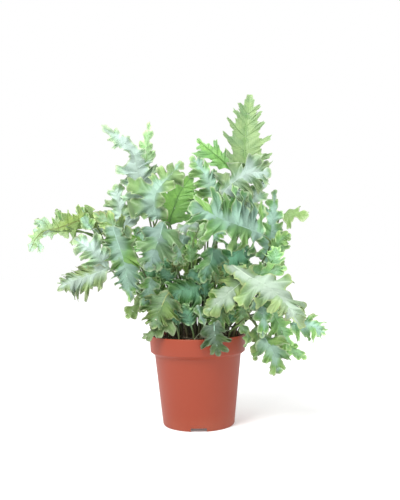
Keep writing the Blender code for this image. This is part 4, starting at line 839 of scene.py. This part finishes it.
class Blade:
    # a blade laid flat, as patches between the midrib or a lobe's middle line and the margin
    def __init__(self, row, length):
        self.row = row
        self.length = length
        self.pitch = frondShape["spread"] * length / row["pairs"]
        self.draw = random.Random("frond_" + row["name"])
        self.look = random.Random("look of " + row["name"])
        self.phase = {side: self.draw.uniform(0, 6.28) for side in sides}
        self.differ = (0.94, 1.05) if row["left"] else (0.84, 1.14)
        self.patches = []
        for side, hand in sides.items():
            own = [(length * (share / 100), *rest) for share, *rest in row[hand]]
            self.shapeSide(side, own or self.usual())

    def usual(self):
        # even lobes, longest below the blade's middle
        shape = frondShape
        made = []
        for k in range(self.row["pairs"]):
            share = (k + 0.5) / self.row["pairs"]
            grown = math.sin(math.pi / 2 * min(1.0, share / shape["longestAt"]))
            rise = shape["lowestReach"] + (1 - shape["lowestReach"]) * grown
            reach = self.row["width"] * (1 - self.row["taper"] * share**1.5) * rise
            angle = shape["baseAngle"] + (shape["tipAngle"] - shape["baseAngle"]) * share
            half = 0.5 * self.pitch * math.sin(math.radians(angle))
            made.append((self.length * (shape["first"] + shape["spread"] * share), angle, reach, half))
        return made

    def notch(self, k, lobes):
        if k == 0:
            return Vector((0.0, frondShape["stalkTop"] * 0.8))
        web = frondShape["web"] * (1 - self.row["cut"])
        if k == len(lobes):
            return Vector((self.length * frondShape["lastNotch"], 0.6 * web * lobes[-1][2]))
        (low, lowAngle, lowReach, _), (high, highAngle, highReach, _) = lobes[k - 1:k + 1]
        depth = web * (lowReach + highReach) / 2
        slope = math.tan(math.radians((lowAngle + highAngle) / 2))
        return Vector(((low + high) / 2 + depth / slope, depth))

    def shapeSide(self, side, lobes):
        shape = frondShape
        blunt = self.row["blunt"]
        places = [lobe[0] for lobe in lobes]
        ends = [0.0, *((a + b) / 2 for a, b in zip(places, places[1:])), 1.5 * places[-1] - 0.5 * places[-2]]
        for k, (place, angle, reach, half) in enumerate(lobes):
            reach *= self.draw.uniform(*self.differ)
            jog = shape["jog"] * half / math.sin(math.radians(angle)) / reach
            angle = math.radians(angle) + self.draw.uniform(-jog, jog)
            lobe = Lobe(Vector((place, 0.0)), angle, half, reach, self.look)
            form = [
                (0.56, -0.58 - 0.20 * blunt),
                (0.89 + 0.04 * blunt, -0.26 - 0.46 * blunt),
                (1.0, 0.10 + 0.34 * blunt),
                (0.66 + 0.08 * blunt, 0.52 + 0.33 * blunt),
            ]
            small = reach < shape["smallLobe"]
            if small:
                form = [(0.66, form[0][1]), (1.0, -0.1), (0.78, form[3][1])]
            stray = shape["stray"]
            corners = [lobe.point(out + self.draw.uniform(-stray, stray), wide * shape["fuller"])
                       for out, wide in form]
            tip = lobe.point(shape["lobeEnd"], 0.0)
            low, high = self.notch(k, lobes), self.notch(k + 1, lobes)
            lobe.depth = (low.y + high.y) / 2
            edges = ([low, *corners[:1 if small else 2], tip], [high, *corners[:1:-1], tip])
            for half, edge in enumerate(edges):
                spine = [Vector((ends[k + half], 0.0)), lobe.start, tip]
                self.patches.append((side, lobe, spine, rounded(edge), half))
        last = lobes[-1][2]
        start = Vector((ends[-1], 0.0))
        end = Vector((self.length, 0.0))
        lobe = Lobe(start, 0.0, last * 0.4, self.length - start.x, self.look)
        lobe.depth = last * 2
        edge = [
            self.notch(len(lobes), lobes),
            Vector((self.length * shape["beforeTip"], last * (0.26 + 0.12 * blunt))),
            Vector((self.length * shape["atTip"], last * (0.08 + 0.16 * blunt))),
            end,
        ]
        self.patches.append((side, lobe, [start, end], rounded(edge), 0))

    def lift(self, point, side):
        row = self.row
        share = point.y / row["width"]
        tilt = row["fold"] + 0.5 * row["bend"] * share
        turns = (point.x - frondShape["waveSlant"] * point.y) / self.pitch * math.pi
        wave = frondShape["wave"] * math.sin(turns + self.phase[side])
        wave += frondShape["smallWave"] * math.sin(0.7 * turns + 2 * self.phase[side])
        rise = row["ruffle"] * row["width"] * share**1.4 * wave
        return point.y * math.cos(tilt) * side, rise - point.y * math.sin(tilt)


def tooth(turn, blunt):
    turn -= math.floor(turn)
    broad = math.sin(math.pi * turn**1.4) ** 0.7
    pointed = turn / 0.62 if turn < 0.62 else (1.0 - turn) / 0.38
    return pointed + (broad - pointed) * blunt


def kept(point):
    # a point outside the CAD model's box is moved inside
    slack = 0.0002
    return Vector([min(max(value, low + slack), high - slack) for value, low, high in zip(point, *cadBox)])


def addBlade(bm, row, course, blade):
    look = bladeLook
    zone, vein, mood = [bm.verts.layers.float_vector.new(name) for name in layerNames]
    rows = len(look["rows"]) - 1
    waves = row["calm"]
    light, yellow, bloomy = row["mood"]
    for side, lobe, spine, edge, half in blade.patches:
        spineLengths, edgeLengths = lengthsAlong(spine), lengthsAlong(edge)
        margin = edgeLengths[-1]
        columns = max(5, min(look["mostColumns"], round(margin / look["columnStep"])))
        teeth = max(1, round(margin / look["toothStep"]))
        toothSize = min(look["toothMost"], look["toothSize"] * lobe.reach)
        frillMost = min(look["frillMost"], look["frill"] * lobe.reach)
        frillTurns = max(0.8, margin / look["frillStep"])
        grid = bmesh.ops.create_grid(bm, x_segments=columns, y_segments=rows, size=0.5)
        for vert in grid["verts"]:
            u = vert.co.x + 0.5
            v = look["rows"][round((vert.co.y + 0.5) * rows)]
            near, outer = along(spine, spineLengths, u), along(edge, edgeLengths, u)
            out = (outer - near).normalized() if (outer - near).length > 1e-6 else Vector((0, 0))
            taper = smoothStep(0.12, 0.5, u) * (1.0 - smoothStep(0.93, 1.0, u))
            notched = tooth(u * teeth + lobe.phases[half + 2], row["blunt"]) - look["toothIn"]
            outer = outer + out * toothSize * taper * notched
            flat = near.lerp(outer, v)
            beyond = max(0.0, flat.y - lobe.depth) / max(1.0, lobe.reach)
            fromStart = flat - lobe.start
            ahead, q = fromStart.dot(lobe.ahead), fromStart.dot(lobe.aside)
            frill = frillMost * v**1.3 * math.sin(math.pi * u) ** 0.6 * waves
            wave = frill * math.sin(math.tau * frillTurns * u + lobe.phases[half])
            loose = min(1.0, look["loosening"] * beyond) * waves
            rise = look["lobeRise"] * lobe.reach * lobe.rise * beyond**1.3 * waves
            rise += look["lobeTurn"] * lobe.turn * q * loose
            rise += look["lobeCup"] * lobe.cup * q * q / max(4.0, lobe.half) * loose
            rise += look["lobeCurl"] * lobe.curl * lobe.reach * max(0.0, beyond - look["curlFrom"]) ** 2
            inward, lift = blade.lift(flat, side)
            centre, across, normal = course.at(flat.x)
            vert.co = kept((centre + across * inward + normal * (lift + wave + rise)) * mm)
            vert[zone] = ((outer - flat).length, ahead / lobe.reach, lobe.tint)
            vert[vein] = (abs(q), ahead, abs(q) / lobe.half * loose)
            ends = row["paleEnd"] * smoothStep(0.35, 0.9, flat.x / blade.length)
            vert[mood] = (light * (1.0 + 0.4 * ends), yellow * (1.0 - ends), bloomy + ends)
        if (side < 0) != (half == 1):
            bmesh.ops.reverse_faces(bm, faces=list({f for vert in grid["verts"] for f in vert.link_faces}))
    bmesh.ops.remove_doubles(bm, verts=bm.verts, dist=look["weld"] * mm)
    bmesh.ops.dissolve_degenerate(bm, edges=bm.edges, dist=0.00001)
    bm.normal_update()
    lower, lowVerts = bm.faces[:], bm.verts[:]
    sunk = [kept(vert.co - vert.normal * frondShape["blade"] * mm) for vert in lowVerts]
    bmesh.ops.extrude_face_region(bm, geom=lower, use_keep_orig=True)
    for vert, place in zip(lowVerts, sunk):
        vert.co = place
    for face in lower:
        face.material_index = 1


def addStalk(bm, course):
    shape = frondShape
    zone = bm.verts.layers.float_vector["zone"]
    total = course.stalkLength + course.bladeLength
    rings = max(12, round(total / shape["stalkStep"]))
    for k in range(rings + 1):
        at = total * k / rings - course.stalkLength
        centre, across, normal = course.at(at)
        radius = shape["stalkBase"] + (shape["stalkTop"] - shape["stalkBase"]) * k / rings
        sink = 0.0
        if at >= 0:
            share = at / course.bladeLength
            radius = shape["stalkTop"] + (shape["ribEnd"] - shape["stalkTop"]) * share**0.8
            sink = -0.55 * radius * smoothStep(0.0, 0.08, share) - 0.5 * shape["blade"]
        if k == 0:
            corners = shape["stalkSides"]
            ring = bmesh.ops.create_circle(bm, cap_ends=True, segments=corners, radius=1.0)["verts"]
            rim = list({e for v in ring for e in v.link_edges})
            angles = {v: math.tau * n / corners for n, v in enumerate(ring)}
        else:
            made = bmesh.ops.extrude_edge_only(bm, edges=rim)["geom"]
            ring = [v for v in made if isinstance(v, bmesh.types.BMVert)]
            rim = [e for e in made if isinstance(e, bmesh.types.BMEdge) and all(v in ring for v in e.verts)]
            below = {v: e.other_vert(v) for v in ring for e in v.link_edges if e.other_vert(v) in angles}
            angles = {v: angles[below[v]] for v in ring}
        for vert in ring:
            turn = angles[vert]
            offset = across * math.cos(turn) * radius + normal * (math.sin(turn) * radius + sink)
            vert.co = kept((centre + offset) * mm)
            vert[zone] = (smoothStep(-8.0, 6.0, at), 0.0, max(0.0, (at + course.stalkLength) / total))
    bmesh.ops.contextual_create(bm, geom=rim)


def makeFrond(row, finishes):
    course = Course(row)
    bm = bmesh.new()
    addBlade(bm, row, course, Blade(row, course.bladeLength))
    before = len(bm.faces)
    addStalk(bm, course)
    bm.faces.ensure_lookup_table()
    tube = bm.faces[before:]
    for face in tube:
        face.material_index = 2
    bmesh.ops.recalc_face_normals(bm, faces=tube)
    piece = newPiece("fern_" + row["name"], bm, finishes, 60)
    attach(piece, "root")
    if "frond_" + row["name"] in frame["nodes"]:
        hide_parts("frond_" + row["name"])
    slot = {"paleLime": "pale_lime"}.get(row["tone"], row["tone"])
    "leaf_" + slot


# Leaf finishes: heart is the waxy blue-white along the midrib, lobe the green of the lobes, tip their
# ends, fold the painted shade in the creases between them, margin the pale edge and the painted highlight
# along it, under the lower side, underVein its veins, rib the midrib; the last two shares are how much the
# heart and the margin show
toneParts = (
    "heart", "lobe", "tip", "fold", "margin", "under", "underVein", "rib", "heartShare", "marginAndHighlightShare",
)
tones = {
    "blue": ((0.236, 0.384, 0.31), (0.092, 0.244, 0.066), (0.195, 0.365, 0.09), (0.0444, 0.141, 0.0444),
        (0.39, 0.53, 0.31), (0.111, 0.259, 0.074), (0.074, 0.185, 0.037), (0.22, 0.36, 0.28), 0.85, 0.85),
    "pale": ((0.37, 0.488, 0.429), (0.207, 0.348, 0.185), (0.311, 0.444, 0.2), (0.104, 0.222, 0.0962),
        (0.45, 0.57, 0.38), (0.178, 0.34, 0.133), (0.104, 0.237, 0.0592), (0.34, 0.46, 0.38), 0.95, 0.85),
    "lime": ((0.252, 0.414, 0.207), (0.178, 0.355, 0.104), (0.266, 0.444, 0.178), (0.074, 0.207, 0.0444),
        (0.459, 0.577, 0.355), (0.207, 0.363, 0.133), (0.111, 0.244, 0.0592), (0.19, 0.33, 0.11), 0.4, 0.8),
    "green": ((0.21, 0.37, 0.22), (0.08, 0.225, 0.038), (0.19, 0.37, 0.075), (0.025, 0.095, 0.02),
        (0.33, 0.49, 0.22), (0.111, 0.296, 0.0444), (0.0444, 0.148, 0.0222), (0.08, 0.2, 0.035), 0.45, 0.8),
    "deep": ((0.115, 0.29, 0.19), (0.034, 0.125, 0.033), (0.11, 0.26, 0.07), (0.009, 0.045, 0.012),
        (0.26, 0.42, 0.21), (0.065, 0.18, 0.04), (0.0296, 0.0888, 0.0148), (0.11, 0.24, 0.13), 0.65, 0.85),
    "olive": ((0.205, 0.32, 0.195), (0.105, 0.213, 0.06), (0.18, 0.29, 0.072), (0.0444, 0.104, 0.0222),
        (0.34, 0.4, 0.192), (0.185, 0.311, 0.0518), (0.104, 0.163, 0.0296), (0.26, 0.3, 0.1), 0.6, 0.6),
    "paleLime": ((0.414, 0.533, 0.414), (0.244, 0.392, 0.178), (0.311, 0.459, 0.133), (0.118, 0.244, 0.0592),
        (0.414, 0.533, 0.222), (0.222, 0.37, 0.118), (0.148, 0.281, 0.0814), (0.42, 0.53, 0.4), 0.95, 0.85),
}
leafLook = {
    "tipColour": (0.22, 0.15, 0.06),
    "yellow": (0.28, 0.30, 0.07),
    "wax": (0.34, 0.46, 0.38),
    "roughness": 0.46,
    "bloomRoughness": 0.62,
    "veinStep": 3.4,  # mm between side veins
    "lobeShade": 0.77,  # how light the darkest lobe is; the lightest is as much above 1
    "stalkFoot": (0.085, 0.055, 0.028),
    "stalk": (0.075, 0.12, 0.034),
    "stalkEnd": (0.15, 0.235, 0.08),
    "stalkStreak": (0.12, 0.085, 0.04),
}


def veinLines(fromVein, alongVein):
    main = 1.0 - fromVein.above(0.15, 0.6)
    turns = ((alongVein - 0.7 * fromVein) / leafLook["veinStep"]).fraction()
    return main, 1.0 - (turns - 0.5).size().above(0.03, 0.14)


def leafUpper(name, tone):
    finish = Finish(name + "LeafUpper")
    (fromMargin, ahead, tint), (fromVein, alongVein, crease), mood = map(finish.layer, layerNames)
    light, yellow, bloomy = mood
    main, sideVeins = veinLines(fromVein, alongVein)
    patches = finish.speckle(38.0)
    mottles = finish.speckle(90.0, 3.0, 0.6)
    fine = finish.speckle(420.0, 3.0, 0.6)
    ripe = ahead + 1.1 * (patches - 0.5) + 0.8 * (tint - 0.5)
    heart = ((1.0 - ripe.above(0.05, 0.62)) * tone["heartShare"] + bloomy).clamped()
    # painted shade: darker where neighbouring lobes meet, in the creases between them, mottled
    creaseShade = (crease.above(0.28, 1.0) * (1.0 - ahead.above(0.7, 1.0)) + 0.9 * (mottles - 0.5)).clamped()
    # the pale margin, made lighter still by a painted highlight along the edge
    edge = (1.0 - (fromMargin + 1.6 * (fine - 0.5)).above(0.3, 3.2)) * tone["marginAndHighlightShare"]
    dry = (1.0 - fromMargin.above(0.3, 1.6)) * patches.above(0.54, 0.66) * 0.4
    colour = finish.layered(
        tone["lobe"],
        (ripe.above(0.4, 1.05), tone["tip"]),
        (heart, tone["heart"]),
        (creaseShade * 0.95, tone["fold"]),
        (edge, tone["margin"]),
        (dry, leafLook["tipColour"]),
        (yellow * (1.0 - 0.6 * heart), leafLook["yellow"]),
    )
    shade = leafLook["lobeShade"] + 2.0 * (1.0 - leafLook["lobeShade"]) * (tint * 7.0).fraction()
    colour = finish.scaled(colour, light * shade * (1.0 - 0.05 * sideVeins))
    finish.bump(fine * 0.35 - main * 0.7 - sideVeins * 0.2, 0.0004, 0.8)
    gloss = leafLook["roughness"] + (leafLook["bloomRoughness"] - leafLook["roughness"]) * heart
    return finish.fill(Base_Color=colour, Roughness=gloss)


def leafUnder(name, tone):
    finish = Finish(name + "LeafUnder")
    (fromMargin, ahead, tint), (fromVein, alongVein, crease), mood = map(finish.layer, layerNames)
    light, yellow, bloomy = mood
    main, sideVeins = veinLines(fromVein, alongVein)
    patches = finish.speckle(60.0, 3.0, 0.6)
    fine = finish.speckle(500.0, 3.0, 0.6)
    # painted shade in the creases between the lobes, fainter on the lower side
    creaseShade = crease.above(0.4, 1.1) * (1.0 - ahead.above(0.7, 1.0)) * 0.18
    # the pale margin on the lower side, with a painted highlight along the edge
    edge = (1.0 - (fromMargin + 1.2 * (fine - 0.5)).above(0.2, 1.8)) * 0.6 * tone["marginAndHighlightShare"]
    nearRib = (1.0 - ahead.above(0.0, 0.06)) * 0.5
    colour = finish.layered(
        shaded(tone["under"], 0.62, 0.72, 0.7),
        ((0.4 * tint + 0.6 * patches.above(0.3, 0.7)).clamped(), shaded(tone["under"], 1.5, 1.26, 1.2)),
        ((bloomy * (0.4 + 0.6 * ahead.above(0.2, 0.8))).clamped(), leafLook["wax"]),
        (creaseShade, tone["fold"]),
        (edge, tone["margin"]),
        ((main * 0.55 + sideVeins * 0.1 + nearRib).clamped(), tone["underVein"]),
        (yellow, leafLook["yellow"]),
    )
    finish.bump(fine * 0.3 + main * 0.8 + sideVeins * 0.4, 0.0005, 0.9)
    return finish.fill(Base_Color=finish.scaled(colour, light), Roughness=0.55)


def shaded(colour, *factors):
    return tuple(min(1.0, part * factor) for part, factor in zip(colour, factors))


def stalkFinish(name, tone):
    finish = Finish(name + "Stalk")
    onBlade, _, grown = finish.layer("zone")
    streaks = finish.speckle(220.0, 4.0, 0.6)
    colour = finish.layered(
        leafLook["stalkFoot"],
        (grown.above(0.05, 0.35), leafLook["stalk"]),
        (grown.above(0.35, 0.8), leafLook["stalkEnd"]),
        (streaks.above(0.5, 0.8) * 0.4, leafLook["stalkStreak"]),
        (onBlade, tone["rib"]),
    )
    finish.bump(streaks, 0.0002, 0.6)
    return finish.fill(Base_Color=colour, Roughness=0.5)


def makeFronds():
    finishes = {}
    for name, parts in tones.items():
        tone = dict(zip(toneParts, parts))
        finishes[name] = [leafUpper(name, tone), leafUnder(name, tone), stalkFinish(name, tone)]
    for row in fronds:
        makeFrond(row, finishes[row["tone"]])


makeFronds()
print("fronds made")


# Floor and light

roomLook = {
    "floor": (0.90, 0.90, 0.90),
    "glow": 0.12,  # the floor's own light, so that it fades into the white behind
    "world": 1.0,
    "key": 34.0,
    "fill": 4.0,
}


def addLight(name, place, size, target=(0, 0, 0.2)):
    data = bpy.data.lights.new(name, "AREA")
    data.shape = "DISK"
    data.size = size
    data.energy = roomLook[name]
    light = bpy.data.objects.new(name, data)
    at = Vector(place)
    turned = (Vector(target) - at).to_track_quat("-Z", "Y").to_matrix().to_4x4()
    light.matrix_world = Matrix.Translation(at) @ turned
    bpy.context.scene.collection.objects.link(light)


def makeRoom():
    white = (1.0, 1.0, 1.0)
    paint = Finish("paleFloor").fill(
        Base_Color=roomLook["floor"], Roughness=0.9, Emission_Color=white, Emission_Strength=roomLook["glow"],
    )
    bm = bmesh.new()
    bmesh.ops.create_grid(bm, x_segments=4, y_segments=4, size=6.0)
    floor = newPiece("floor", bm, [paint], 50)
    world = bpy.data.worlds.new("world")
    world.use_nodes = True
    back = world.node_tree.nodes["Background"]
    back.inputs["Color"].default_value = (*white, 1.0)
    back.inputs["Strength"].default_value = roomLook["world"]
    scene = bpy.context.scene
    scene.world = world
    addLight("key", (-0.7, -1.0, 1.5), 0.9)
    addLight("fill", (1.2, -1.0, 0.8), 1.2)
    scene.view_settings.view_transform = "Standard"


makeRoom()
print("room made")
